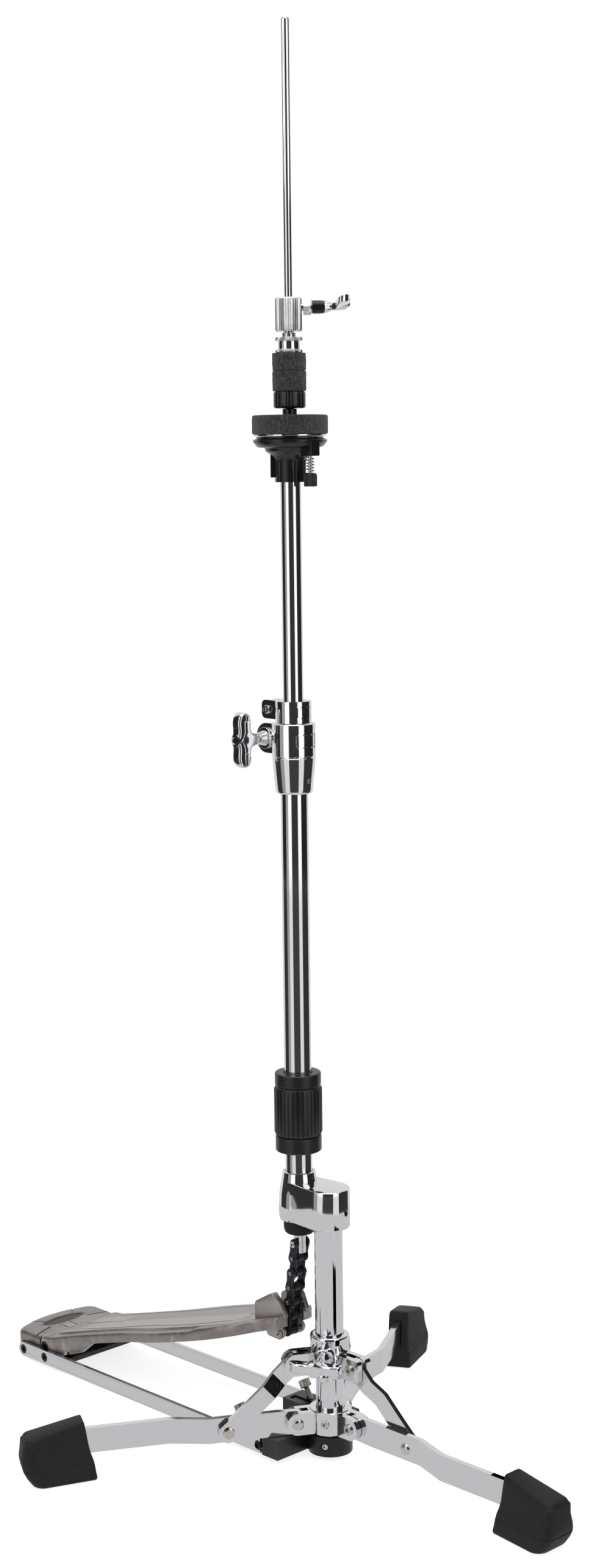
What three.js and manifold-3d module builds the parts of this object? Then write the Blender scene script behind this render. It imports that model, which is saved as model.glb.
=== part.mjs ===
import * as THREE from 'three';
import { mergeVertices } from 'three/addons/utils/BufferGeometryUtils.js';
import Module from 'manifold-3d';

// Flat-base hi-hat stand. Millimetres, +Z up, floor at z = 0.
// The heel of the pedal points to -Y. Sizes below are measured from the pull-rod axis;
// SHIFT moves the whole stand so that the middle of its footprint is at the origin.
const SHIFT = [4.75, 22.7, 0];
const GAP = 0.3;
const FINENESS = 0.58;

// pull rod and chain
const ROD_D = 6.3;
const ROD_TOP = 1104.6;
const CONN_D = 10;
const CONN_BOTTOM = 157.1;
const CONN_TOP = 196;
const CHAIN_TOP_Z = 164.5;
const CHAIN_PITCH = 12.7;
const TOE_PIN_Y = -12;
const TOE_PIN_Z = 89.3;
const CHAIN_PLATE = 1.5;
const CHAIN_INNER_X = 3.7;
const CHAIN_OUTER_X = 5.5;
const CHAIN_PLATE_R = 4.3;
const CHAIN_PIN_D = 3.6;
const CHAIN_ROLLER_D = 7.7;

// clutch
const CLUTCH_D = 20.4;
const CLUTCH_Z = [874.4, 899.6];
const CLUTCH_BORE = 7.2;
const STEM_D = 11.4;
const STEM_Z = [819, 873.6];
const SPOOL_Z = [858.9, 870.2];
const SPOOL_D = 16.6;
const CLUTCH_FELT_D = 25.8;
const FELT_UP_Z = [845.6, 858.6];
const FELT_LOW_Z = [830.2, 845.3];
const CLUTCH_NUT_D = 24.9;
const CLUTCH_NUT_Z = [817.4, 829.9];
const CLUTCH_BOLT_Z = 892.4;
const CLUTCH_BOLT_AZ = 135.8;

// cymbal seat
const SEAT_FELT_D = 58;
const SEAT_FELT_Z = [798, 812.3];
const SEAT_WASHER_D = 55.5;
const SEAT_WASHER_Z = [796.4, 797.7];
const CUP_D = 56.5;
const CUP_Z = [762, 796.1];
const SOCKET_D = 23.6;
const SLEEVE_D = 11;
const SLEEVE_TOP = 817;
const TILTER_R = 21.5;
const TILTER_KNOB_D = 10.4;

// tubes
const UPPER_TUBE_D = 15.9;
const UPPER_TUBE_BORE = 12.6;
const UPPER_TUBE_Z = [420, 778.4];
const LOWER_TUBE_D = 21.5;
const LOWER_TUBE_BORE = 18.7;
const LOWER_TUBE_Z = [198, 549];

// memory lock and height clamp
const HINGE_AZ = 85;
const LOCK_D = 28;
const LOCK_Z = [578.7, 595.5];
const CLAMP_D = 33.8;
const CLAMP_FOOT_D = 28.8;
const CLAMP_Z = [524.2, 552.6, 578.3];
const EAR_FACE = 9;
const CLAMP_EAR_OUT = 23;
const CLAMP_EAR_R = 11.6;
const CLAMP_EAR_Z = 565.6;
const LOCK_EAR_OUT = 20.6;
const LOCK_EAR_R = 7.2;
const LOCK_EAR_Z = 588;
const WING_SPAN = 43;

// spring tension adjuster
const RING_D = 36.4;
const RING_TOP_Z = [293, 303.4];
const BARREL_D = 38.2;
const BARREL_Z = [253.2, 292.7];
const RING_LOW_Z = [240.4, 252.9];
const SPRING_Z = [262, 392];
const SPRING_D = 15.6;
const SPRING_WIRE = 1.9;
const SPRING_TURNS = 12;

// offset bracket, bumper and side column
const COLUMN_Y = 32;
const COLUMN_D = 22.2;
const COLUMN_BORE = 19;
const COLUMN_Z = [6, 212];
const BRACKET_RIM_D = 26;
const BRACKET_SOCKET_D = 32.6;
const BRACKET_LOBE_D = 34.6;
const BRACKET_Z = [185.2, 216.8, 224];
const BUMPER_D = 25.4;
const BUMPER_Z = [172.6, 184.9];

// legs
const LEG_AZ = [90, 210, 330];
const LEG_Z = [19, 39];
const LEG_T = 5;
const HUB_PIN_R = 28;
const HUB_PIN_Z = 29;
const HUB_D = 34;
const HUB_Z = [19.6, 38.4];
const COLLAR_PIN_R = 29;
const COLLAR_PIN_Z = 77;
const COLLAR_Z = [65.6, 98.6];
const COLLAR_D = [31.4, 33.8];
const LEG_PIN_R = 83.5;
const LEG_PIN_Z = 28;
const EAR_R = 9;
const JOGGLE_R = [98, 127];
const JOGGLE_T = -9.5;
const LEG_END_R = 214;
const BRACE_T = 4;
const BRACE_W = 16;
const BRACE_HOLE = 12;
const COLLAR_BOLT_AZ = 30;
const COLLAR_BOLT_Z = 85.5;
const PIN_D = 5;

// base block, rails and pedal
const BLOCK_Z = [3, 18.7];
const BLOCK_R = 17.5;
const BLOCK_Y = [1.4, 19.2];
const TAB_Y = -43;
const RAIL_X = [43.4, 46.8];
const RAIL_Y = [-307.5, 0];
const RAIL_Z = [4, 16.3];
const RAIL_BOLT = [-2.2, 10];
const SPUR_X = 36;
const SPUR_HEAD = [-33.4, 29];
const SPUR_TILT = 33;
const HINGE_Y = -276.8;
const HINGE_Z = 17.1;
const BOARD_SLOPE = 0.295;
const BOARD_TOP_Z = 31.4;
const BOARD_REF_Y = -262;
const BOARD_T = 10.5;
const BOARD_HALF = [[-281.4, 42], [-262, 42], [-250, 40.2], [-235, 38], [-212, 37.4], [-190, 37.6], [-172, 38.5], [-155, 41.2], [-140, 44], [-122, 46.4], [-108, 47], [-85, 47], [-70, 45.8], [-60, 44], [-50, 40.4], [-40, 36], [-33, 31], [-27, 26], [-19, 23.2], [-6, 19.5]];
const HEEL_TOP_Z = 24.6;
const HEEL_HALF = 42;
const LUG_Y = [-33, -17, -4];
const LUG_Z = [113.5, 122.5, 107];
const HEEL_Y = [-323, -283.6];
const PLATE_Y = [-322, -257.5];
const PLATE_Z = [4, 8];

const wasm = await Module();
wasm.setup();

const rad = (d) => (d * Math.PI) / 180;

function solid(geometry) {
  const g = geometry.clone();
  g.deleteAttribute('normal');
  g.deleteAttribute('uv');
  const m = mergeVertices(g, 1e-4);
  const pos = m.attributes.position.array;
  const idx = [];
  const src = m.index.array;
  for (let i = 0; i < src.length; i += 3) {
    const [a, b, c] = [src[i], src[i + 1], src[i + 2]];
    if (a !== b && b !== c && a !== c) idx.push(a, b, c);
  }
  let volume = 0;
  const P = (i) => new THREE.Vector3(pos[3 * i], pos[3 * i + 1], pos[3 * i + 2]);
  for (let i = 0; i < idx.length; i += 3) volume += P(idx[i]).dot(P(idx[i + 1]).cross(P(idx[i + 2])));
  if (volume < 0) for (let i = 0; i < idx.length; i += 3) [idx[i + 1], idx[i + 2]] = [idx[i + 2], idx[i + 1]];
  return new wasm.Manifold(new wasm.Mesh({ numProp: 3, vertProperties: new Float32Array(pos), triVerts: new Uint32Array(idx) }));
}

function geometryOf(body) {
  const m = body.getMesh();
  const g = new THREE.BufferGeometry();
  g.setAttribute('position', new THREE.BufferAttribute(new Float32Array(m.vertProperties), 3));
  g.setIndex(new THREE.BufferAttribute(new Uint32Array(m.triVerts), 1));
  return g;
}

const facets = (n) => Math.max(8, 4 * Math.round((n * FINENESS) / 4));
const add = (...list) => list.reduce((a, b) => a.add(b));
const cut = (a, ...list) => list.reduce((r, b) => r.subtract(b), a);

// cylinder between two heights on the z axis, moved to (x, y)
function cyl(r, z0, z1, x = 0, y = 0, seg = 32, rTop = r) {
  const g = new THREE.CylinderGeometry(rTop, r, z1 - z0, facets(seg));
  g.rotateX(Math.PI / 2);
  g.translate(x, y, (z0 + z1) / 2);
  return solid(g);
}

function box(x0, x1, y0, y1, z0, z1) {
  const g = new THREE.BoxGeometry(x1 - x0, y1 - y0, z1 - z0);
  g.translate((x0 + x1) / 2, (y0 + y1) / 2, (z0 + z1) / 2);
  return solid(g);
}

// solid of revolution from a closed outline of [radius, z] pairs
function lathe(points, x = 0, y = 0, seg = 32) {
  const outline = [...points, points[0]].map(([r, z]) => new THREE.Vector2(r, z));
  const g = new THREE.LatheGeometry(outline, facets(seg));
  g.rotateX(Math.PI / 2);
  g.translate(x, y, 0);
  return solid(g);
}

// outline in x, y pulled up from z0 to z1
function prism(points, z0, z1, curve = 10) {
  const shape = points instanceof THREE.Shape ? points : new THREE.Shape(points.map(([x, y]) => new THREE.Vector2(x, y)));
  const g = new THREE.ExtrudeGeometry(shape, { depth: z1 - z0, bevelEnabled: false, curveSegments: curve });
  g.translate(0, 0, z0);
  return solid(g);
}

// outline given in y, z pulled along x
function sidePrism(points, x0, x1) {
  const shape = new THREE.Shape(points.map(([y, z]) => new THREE.Vector2(y, z)));
  const g = new THREE.ExtrudeGeometry(shape, { depth: x1 - x0, bevelEnabled: false, curveSegments: 10 });
  g.rotateX(Math.PI / 2);
  g.rotateZ(Math.PI / 2);
  g.translate(x0, 0, 0);
  return solid(g);
}

// outline given in r, z pulled along t, for parts of one leg (r along +x, t along +y)
function legPrism(points, t0, t1) {
  const shape = points instanceof THREE.Shape ? points : new THREE.Shape(points.map(([r, z]) => new THREE.Vector2(r, z)));
  const g = new THREE.ExtrudeGeometry(shape, { depth: t1 - t0, bevelEnabled: false, curveSegments: 7 });
  g.rotateX(Math.PI / 2);
  g.translate(0, t1, 0);
  return solid(g);
}

// pin along t
function legPin(r, z, d, t0, t1, seg = 24) {
  const g = new THREE.CylinderGeometry(d / 2, d / 2, t1 - t0, facets(seg));
  g.translate(r, (t0 + t1) / 2, z);
  return solid(g);
}

// cylinder along x
function xPin(y, z, d, x0, x1, seg = 24) {
  const g = new THREE.CylinderGeometry(d / 2, d / 2, x1 - x0, facets(seg));
  g.rotateZ(Math.PI / 2);
  g.translate((x0 + x1) / 2, y, z);
  return solid(g);
}

function turned(b, az, x = 0, y = 0) {
  const g = geometryOf(b);
  g.rotateZ(rad(az));
  g.translate(x, y, 0);
  return solid(g);
}

// round-ended link outline through two points in the r, z plane
function linkShape(a, c, w) {
  const dx = c[0] - a[0];
  const dz = c[1] - a[1];
  const angle = Math.atan2(dz, dx);
  const s = new THREE.Shape();
  s.absarc(a[0], a[1], w / 2, angle + Math.PI / 2, angle + (3 * Math.PI) / 2, false);
  s.absarc(c[0], c[1], w / 2, angle - Math.PI / 2, angle + Math.PI / 2, false);
  s.closePath();
  return s;
}

// butterfly screw along +x: neck from x0, wings centred on x1, wings spread in z when flat is false
function wingBolt(x0, x1, span, neck, shank, flat) {
  const half = span / 2;
  const s = new THREE.Shape();
  s.moveTo(x1 - 3, 4);
  s.lineTo(x1 - 3, half - 12);
  s.bezierCurveTo(x1 - 9, half - 9, x1 - 9, half - 1, x1 - 2, half);
  s.bezierCurveTo(x1 + 4, half, x1 + 5, half - 7, x1 + 3.6, half - 13);
  s.lineTo(x1 + 5.2, 0);
  s.lineTo(x1 + 3.6, -half + 13);
  s.bezierCurveTo(x1 + 5, -half + 7, x1 + 4, -half, x1 - 2, -half);
  s.bezierCurveTo(x1 - 9, -half + 1, x1 - 9, -half + 9, x1 - 3, -half + 12);
  s.lineTo(x1 - 3, -4);
  s.closePath();
  const g = new THREE.ExtrudeGeometry(s, { depth: 6, bevelEnabled: false, curveSegments: 4 });
  g.translate(0, 0, -3);
  if (!flat) g.rotateX(Math.PI / 2);
  const stem = new THREE.CylinderGeometry(neck / 2, neck / 2 + 1.4, x1 - x0 + 2, facets(24));
  stem.rotateZ(-Math.PI / 2);
  stem.translate((x0 + x1 + 2) / 2, 0, 0);
  const rod = new THREE.CylinderGeometry(shank[0] / 2, shank[0] / 2, x0 - shank[1] + 2, facets(20));
  rod.rotateZ(-Math.PI / 2);
  rod.translate((x0 + 2 + shank[1]) / 2, 0, 0);
  return add(solid(g), solid(stem), solid(rod));
}

function moved(b, dx, dy, dz) {
  const g = geometryOf(b);
  g.translate(dx, dy, dz);
  return solid(g);
}

// ---------------------------------------------------------------- materials
const mat = (name, color, metalness, roughness) => Object.assign(new THREE.MeshStandardMaterial({ color, metalness, roughness }), { name });
const chrome = mat('chrome', 0xd8dadd, 1, 0.1);
const satin = mat('satin_metal', 0xb9b6b2, 1, 0.4);
const cast = mat('cast_metal', 0x948c88, 1, 0.5);
const blackMetal = mat('black_metal', 0x1b1b1d, 0.6, 0.4);
const plastic = mat('black_plastic', 0x19191b, 0, 0.4);
const rubber = mat('rubber', 0x202022, 0, 0.85);
const felt = mat('felt', 0x39383a, 0, 0.95);
const chainMat = mat('chain_steel', 0x25272c, 0.8, 0.4);

const out = new THREE.Group();
out.name = 'hi_hat_stand';
function put(name, b, material) {
  const g = geometryOf(b);
  g.computeVertexNormals();
  const mesh = new THREE.Mesh(g, material);
  mesh.name = name;
  out.add(mesh);
}

// ---------------------------------------------------------------- pull rod, connector, spring
put('pull_rod', cut(cyl(ROD_D / 2, 185, ROD_TOP - 1.2, 0, 0, 24).add(cyl(ROD_D / 2, ROD_TOP - 1.2, ROD_TOP, 0, 0, 24, ROD_D / 2 - 1)).add(cyl(8.2, SPRING_Z[1] + 0.4, SPRING_Z[1] + 4, 0, 0, 32))), satin);
put('rod_connector', cut(
  cyl(CONN_D / 2, CONN_BOTTOM, CONN_TOP, 0, 0, 6).add(cyl(CONN_D / 2 - 0.4, CONN_BOTTOM, CONN_TOP, 0, 0, 24)),
  cyl(ROD_D / 2 + 0.2, 184.6, CONN_TOP + 1, 0, 0, 24),
  xPin(0, CHAIN_TOP_Z, CHAIN_PIN_D + 0.6, -10, 10),
  box(CHAIN_OUTER_X - GAP, 10, -10, 10, 150, 172),
  box(-10, -CHAIN_OUTER_X + GAP, -10, 10, 150, 172),
), chrome);

// round wire wound on radius r between two heights
function coil(r, wire, z0, z1, turns, seg, sides, x = 0, y = 0) {
  const n = turns * seg;
  const pos = [];
  const idx = [];
  const rise = z1 - z0 - wire;
  const pitch = Math.atan2(rise, turns * 2 * Math.PI * r);
  for (let i = 0; i <= n; i += 1) {
    const a = (i / seg) * 2 * Math.PI;
    const zc = z0 + wire / 2 + (rise * i) / n;
    for (let k = 0; k < sides; k += 1) {
      const b = (k / sides) * 2 * Math.PI;
      const u = (Math.cos(b) * wire) / 2;
      const v = (Math.sin(b) * wire) / 2;
      const along = -v * Math.sin(pitch);
      pos.push(x + (r + u) * Math.cos(a) - along * Math.sin(a), y + (r + u) * Math.sin(a) + along * Math.cos(a), zc + v * Math.cos(pitch));
    }
  }
  for (let i = 0; i < n; i += 1) {
    for (let k = 0; k < sides; k += 1) {
      const [a, b] = [i * sides + k, i * sides + ((k + 1) % sides)];
      idx.push(a, a + sides, b, b, a + sides, b + sides);
    }
  }
  for (let k = 1; k < sides - 1; k += 1) {
    idx.push(0, k, k + 1);
    idx.push(n * sides, n * sides + k + 1, n * sides + k);
  }
  const g = new THREE.BufferGeometry();
  g.setAttribute('position', new THREE.BufferAttribute(new Float32Array(pos), 3));
  g.setIndex(idx);
  return solid(g);
}
put('return_spring', coil((SPRING_D - SPRING_WIRE) / 2, SPRING_WIRE, SPRING_Z[0], SPRING_Z[1], SPRING_TURNS, 10, 4), satin);

// ---------------------------------------------------------------- chain
const chainAngle = Math.atan2(TOE_PIN_Y, CHAIN_TOP_Z - TOE_PIN_Z);
const pinAt = (i) => [Math.sin(chainAngle) * CHAIN_PITCH * i, CHAIN_TOP_Z - Math.cos(chainAngle) * CHAIN_PITCH * i];
function plate(i, x0, x1, r = CHAIN_PLATE_R) {
  const [a, c] = [pinAt(i), pinAt(i + 1)];
  const w = linkShape(a, c, 2 * r);
  const g = new THREE.ExtrudeGeometry(w, { depth: x1 - x0, bevelEnabled: false, curveSegments: 5 });
  g.rotateX(Math.PI / 2);
  g.rotateZ(Math.PI / 2);
  g.translate(x0, 0, 0);
  return solid(g);
}
for (let n = 0; n < 6; n += 1) {
  const [a, c] = [pinAt(n), pinAt(n + 1)];
  if (n % 2 === 0) {
    const xo = CHAIN_OUTER_X + CHAIN_PLATE;
    put(`chain_outer_link_${n / 2 + 1}`, add(
      plate(n, CHAIN_OUTER_X, xo), plate(n, -xo, -CHAIN_OUTER_X),
      xPin(a[0], a[1], CHAIN_PIN_D, -xo - 1, xo + 1, 16), xPin(c[0], c[1], CHAIN_PIN_D, -xo - 1, xo + 1, 16),
    ), chainMat);
  } else {
    const xi = CHAIN_INNER_X + CHAIN_PLATE;
    const last = n === 5;
    put(`chain_inner_link_${(n + 1) / 2}`, cut(
      add(plate(n, CHAIN_INNER_X, xi, 4.1), plate(n, -xi, -CHAIN_INNER_X, 4.1),
        xPin(a[0], a[1], CHAIN_ROLLER_D, -xi, xi, 20), xPin(c[0], c[1], CHAIN_ROLLER_D, -xi, xi, 20)),
      xPin(a[0], a[1], CHAIN_PIN_D + 0.6, -10, 10, 16),
      xPin(c[0], c[1], last ? 5.8 : CHAIN_PIN_D + 0.6, -10, 10, 16),
    ), chainMat);
  }
}

// ---------------------------------------------------------------- clutch
const boltHoleClutch = (() => {
  const g = new THREE.CylinderGeometry(3.3, 3.3, 12, facets(20));
  g.rotateZ(Math.PI / 2);
  g.translate(9, 0, CLUTCH_BOLT_Z);
  return turned(solid(g), CLUTCH_BOLT_AZ);
})();
put('clutch_body', cut(
  lathe([[CLUTCH_BORE / 2, CLUTCH_Z[0]], [CLUTCH_D / 2 - 0.9, CLUTCH_Z[0]], [CLUTCH_D / 2, CLUTCH_Z[0] + 0.9], [CLUTCH_D / 2, CLUTCH_Z[1] - 0.9], [CLUTCH_D / 2 - 0.9, CLUTCH_Z[1]], [CLUTCH_BORE / 2, CLUTCH_Z[1]]], 0, 0, 40),
  boltHoleClutch,
), satin);
put('clutch_wing_bolt', (() => {
  const b = add(
    wingBolt(26, 41.4, 36, 8, [5.8, 4.6], true),
    (() => { const g = new THREE.CylinderGeometry(6.2, 6.2, 6, 6); g.rotateZ(Math.PI / 2); g.translate(14.2, 0, 0); return solid(g); })(),
    (() => { const g = new THREE.CylinderGeometry(4.6, 4.6, 11, facets(24)); g.rotateZ(Math.PI / 2); g.translate(21.9, 0, 0); return solid(g); })(),
  );
  return turned(moved(b, 0, 0, CLUTCH_BOLT_Z), CLUTCH_BOLT_AZ);
})(), chrome);
put('clutch_stem', lathe([[CLUTCH_BORE / 2, STEM_Z[0]], [STEM_D / 2, STEM_Z[0]], [STEM_D / 2, STEM_Z[1]], [CLUTCH_BORE / 2, STEM_Z[1]]], 0, 0, 28), satin);
put('clutch_spool_nut', lathe([[STEM_D / 2 + GAP, SPOOL_Z[0]], [CLUTCH_D / 2, SPOOL_Z[0]], [CLUTCH_D / 2, SPOOL_Z[0] + 2.2], [SPOOL_D / 2, SPOOL_Z[0] + 2.4], [SPOOL_D / 2, SPOOL_Z[1] - 3], [CLUTCH_D / 2, SPOOL_Z[1] - 2.8], [CLUTCH_D / 2, SPOOL_Z[1]], [STEM_D / 2 + GAP, SPOOL_Z[1]]], 0, 0, 40), satin);
const washerOf = (r, z) => lathe([[STEM_D / 2 + GAP, z[0]], [r - 0.8, z[0]], [r, z[0] + 0.8], [r, z[1] - 0.8], [r - 0.8, z[1]], [STEM_D / 2 + GAP, z[1]]], 0, 0, 36);
put('clutch_felt_upper', washerOf(CLUTCH_FELT_D / 2, FELT_UP_Z), felt);
put('clutch_felt_lower', washerOf(CLUTCH_FELT_D / 2, FELT_LOW_Z), felt);
put('clutch_bottom_nut', (() => {
  let b = lathe([[STEM_D / 2 + GAP, CLUTCH_NUT_Z[0]], [CLUTCH_NUT_D / 2 - 1, CLUTCH_NUT_Z[0]], [CLUTCH_NUT_D / 2, CLUTCH_NUT_Z[0] + 1], [CLUTCH_NUT_D / 2, CLUTCH_NUT_Z[1] - 1], [CLUTCH_NUT_D / 2 - 1, CLUTCH_NUT_Z[1]], [STEM_D / 2 + GAP, CLUTCH_NUT_Z[1]]], 0, 0, 48);
  for (let i = 0; i < 8; i += 1) {
    const a = rad(i * 45 + 22.5);
    b = b.subtract(cyl(2.6, CLUTCH_NUT_Z[0] - 1, CLUTCH_NUT_Z[1] - 1.4, (CLUTCH_NUT_D / 2 + 1.9) * Math.cos(a), (CLUTCH_NUT_D / 2 + 1.9) * Math.sin(a), 16));
  }
  return b;
})(), plastic);

// ---------------------------------------------------------------- cymbal seat
const seatBore = SLEEVE_D / 2 + 1.4;
put('seat_felt', lathe([[seatBore, SEAT_FELT_Z[0]], [SEAT_FELT_D / 2 - 1, SEAT_FELT_Z[0]], [SEAT_FELT_D / 2, SEAT_FELT_Z[0] + 1], [SEAT_FELT_D / 2, SEAT_FELT_Z[1] - 1], [SEAT_FELT_D / 2 - 1, SEAT_FELT_Z[1]], [seatBore, SEAT_FELT_Z[1]]], 0, 0, 44), felt);
put('seat_washer', lathe([[seatBore, SEAT_WASHER_Z[0]], [SEAT_WASHER_D / 2, SEAT_WASHER_Z[0]], [SEAT_WASHER_D / 2, SEAT_WASHER_Z[1]], [seatBore, SEAT_WASHER_Z[1]]], 0, 0, 44), chrome);
const rodBore = ROD_D / 2 + 0.7;
put('seat_cup', (() => {
  const r = CUP_D / 2;
  let b = lathe([
    [rodBore, UPPER_TUBE_Z[1] + GAP], [UPPER_TUBE_D / 2 + GAP, UPPER_TUBE_Z[1] + GAP], [UPPER_TUBE_D / 2 + GAP, CUP_Z[0]], [SOCKET_D / 2, CUP_Z[0]], [SOCKET_D / 2, 778.6],
    [18.6, 783.6], [19.8, 787.4], [25.2, 787.6], [r, 792], [r - 1.6, 794.6], [r - 2.4, CUP_Z[1]], [SLEEVE_D / 2, CUP_Z[1]], [SLEEVE_D / 2, SLEEVE_TOP], [rodBore, SLEEVE_TOP],
  ], 0, 0, 44);
  for (let i = 0; i < 6; i += 1) {
    const a = rad(i * 60);
    b = b.subtract(cyl(1.6, CUP_Z[0] - 1, 776, (SOCKET_D / 2 + 1) * Math.cos(a), (SOCKET_D / 2 + 1) * Math.sin(a), 12));
  }
  const fin = prism([[10.5, -1.3], [15.4, -1.3], [15.4, 1.3], [10.5, 1.3]], 765.5, 786);
  b = b.add(turned(fin, 320)).add(turned(fin, 200));
  const block = box(TILTER_R - 6, TILTER_R + 6, -5, 5, 781.4, 795);
  b = b.add(turned(block, 90));
  return b.subtract(cyl(2, 770, CUP_Z[1] + 1, 0, TILTER_R, 16));
})(), plastic);
put('tilter_screw', add(
  cyl(1.5, 768.4, 795.6, 0, TILTER_R, 16),
  (() => {
    let k = cyl(TILTER_KNOB_D / 2, 758.6, 769, 0, TILTER_R, 32);
    for (let i = 0; i < 10; i += 1) {
      const a = rad(i * 36);
      k = k.subtract(cyl(0.7, 758, 769.5, (TILTER_KNOB_D / 2 + 0.3) * Math.cos(a), TILTER_R + (TILTER_KNOB_D / 2 + 0.3) * Math.sin(a), 8));
    }
    return k;
  })(),
), plastic);
put('tilter_spring', coil(2.9, 0.8, 769.3, 781.1, 4, 8, 4, 0, TILTER_R), satin);

// ---------------------------------------------------------------- tubes
put('upper_tube', lathe([[UPPER_TUBE_BORE / 2, UPPER_TUBE_Z[0]], [UPPER_TUBE_D / 2, UPPER_TUBE_Z[0]], [UPPER_TUBE_D / 2, UPPER_TUBE_Z[1]], [UPPER_TUBE_BORE / 2, UPPER_TUBE_Z[1]]], 0, 0, 32), chrome);
put('lower_tube', lathe([
  [LOWER_TUBE_BORE / 2, LOWER_TUBE_Z[0]], [LOWER_TUBE_D / 2, LOWER_TUBE_Z[0]], [LOWER_TUBE_D / 2, LOWER_TUBE_Z[1]], [LOWER_TUBE_BORE / 2, LOWER_TUBE_Z[1]],
  [LOWER_TUBE_BORE / 2, SPRING_Z[0] - 0.4], [CONN_D / 2 + 1, SPRING_Z[0] - 0.4], [CONN_D / 2 + 1, SPRING_Z[0] - 4], [LOWER_TUBE_BORE / 2, SPRING_Z[0] - 4],
], 0, 0, 36), chrome);

// ---------------------------------------------------------------- memory lock and height clamp
// ears stand off opposite the hinge; the clamp bolts run across the slit
function clampPart(b, out, r, z, zz, holeD) {
  const bore = cyl(UPPER_TUBE_D / 2 + GAP, zz[0] - 30, zz[1] + 10, 0, 0, 32).add(cyl(LOWER_TUBE_D / 2 + GAP, zz[0] - 60, LOWER_TUBE_Z[1] + GAP, 0, 0, 40));
  const ears = turned(legPrism(linkShape([10, z], [out, z], 2 * r), -EAR_FACE + 2, EAR_FACE), HINGE_AZ + 180);
  const hole = turned(legPin(out, z, holeD, -20, 20, 20), HINGE_AZ + 180);
  const slit = turned(box(6, 50, -1.1, 1.1, zz[0] - 1, zz[1] + 1), HINGE_AZ + 180);
  return cut(b.add(ears), slit, hole, bore);
}
put('memory_lock', cut(
  clampPart(lathe([[UPPER_TUBE_D / 2 + GAP, LOCK_Z[0]], [LOCK_D / 2, LOCK_Z[0]], [LOCK_D / 2, LOCK_Z[1]], [UPPER_TUBE_D / 2 + GAP, LOCK_Z[1]]], 0, 0, 40), LOCK_EAR_OUT, LOCK_EAR_R, LOCK_EAR_Z, LOCK_Z, 5.4),
  turned(box(12.9, 20, -5, 5, 583.2, 591), HINGE_AZ),
), chrome);
const clampOut = CLAMP_D / 2;
put('height_clamp', cut(
  clampPart(lathe([
    [LOWER_TUBE_D / 2 + GAP, CLAMP_Z[0]], [CLAMP_FOOT_D / 2 - 0.8, CLAMP_Z[0]], [CLAMP_FOOT_D / 2, CLAMP_Z[0] + 1], [clampOut - 0.6, CLAMP_Z[1] - 4], [clampOut, CLAMP_Z[1]], [clampOut, CLAMP_Z[2]],
    [UPPER_TUBE_D / 2 + GAP, CLAMP_Z[2]], [UPPER_TUBE_D / 2 + GAP, LOWER_TUBE_Z[1] + GAP], [LOWER_TUBE_D / 2 + GAP, LOWER_TUBE_Z[1] + GAP],
  ], 0, 0, 44), CLAMP_EAR_OUT, CLAMP_EAR_R, CLAMP_EAR_Z, [CLAMP_Z[1], CLAMP_Z[2]], 7.2),
  turned(box(15.7, 24, -6.4, 6.4, 560, 571), HINGE_AZ),
), chrome);
function acrossBolt(b, out, z) {
  // +x of the bolt points out of the ears' front face
  const g = geometryOf(b);
  g.rotateZ(rad(90));
  g.translate(out, 0, z);
  g.rotateZ(rad(HINGE_AZ + 180));
  return solid(g);
}
// round bar along +x
function bar(r, x0, x1, seg) {
  const g = new THREE.CylinderGeometry(r, r, x1 - x0, facets(seg));
  g.rotateZ(Math.PI / 2);
  g.translate((x0 + x1) / 2, 0, 0);
  return solid(g);
}
put('memory_lock_bolt', acrossBolt(add(bar(2.3, -EAR_FACE + 1, EAR_FACE + 1, 20), bar(3.6, EAR_FACE + GAP, EAR_FACE + 2, 24), box(EAR_FACE + 1.8, EAR_FACE + 5, -2.2, 2.2, -2.2, 2.2)), LOCK_EAR_OUT, LOCK_EAR_Z), satin);
put('height_wing_bolt', acrossBolt(add(wingBolt(EAR_FACE + 1.8, 34.3, WING_SPAN, 10.4, [6.2, -EAR_FACE + 1], false), bar(8.4, EAR_FACE + GAP, EAR_FACE + 2, 28)), CLAMP_EAR_OUT, CLAMP_EAR_Z), chrome);

// ---------------------------------------------------------------- tension adjuster
const ringBody = (r, z) => lathe([[LOWER_TUBE_D / 2 + GAP, z[0]], [r - 1, z[0]], [r, z[0] + 1], [r, z[1] - 1], [r - 1, z[1]], [LOWER_TUBE_D / 2 + GAP, z[1]]], 0, 0, 40);
put('adjuster_top_ring', ringBody(RING_D / 2, RING_TOP_Z), plastic);
put('adjuster_bottom_ring', ringBody(RING_D / 2, RING_LOW_Z), plastic);
put('tension_barrel', (() => {
  const shape = new THREE.Shape();
  const n = 16;
  for (let i = 0; i < n; i += 1) {
    for (const [f, r] of [[0, BARREL_D / 2], [0.5, BARREL_D / 2], [0.75, BARREL_D / 2 - 1]]) {
      const a = ((i + f) / n) * 2 * Math.PI;
      if (i === 0 && f === 0) shape.moveTo(r * Math.cos(a), r * Math.sin(a));
      else shape.lineTo(r * Math.cos(a), r * Math.sin(a));
    }
  }
  shape.closePath();
  return prism(shape, BARREL_Z[0], BARREL_Z[1]).subtract(cyl(LOWER_TUBE_D / 2 + GAP, BARREL_Z[0] - 1, BARREL_Z[1] + 1, 0, 0, 36))
    .intersect(lathe([[5, BARREL_Z[0]], [BARREL_D / 2 - 1.6, BARREL_Z[0]], [BARREL_D / 2 + 0.2, BARREL_Z[0] + 2.4], [BARREL_D / 2 + 0.2, BARREL_Z[1] - 2.4], [BARREL_D / 2 - 1.6, BARREL_Z[1]], [5, BARREL_Z[1]]], 0, 0, 40));
})(), plastic);

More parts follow.
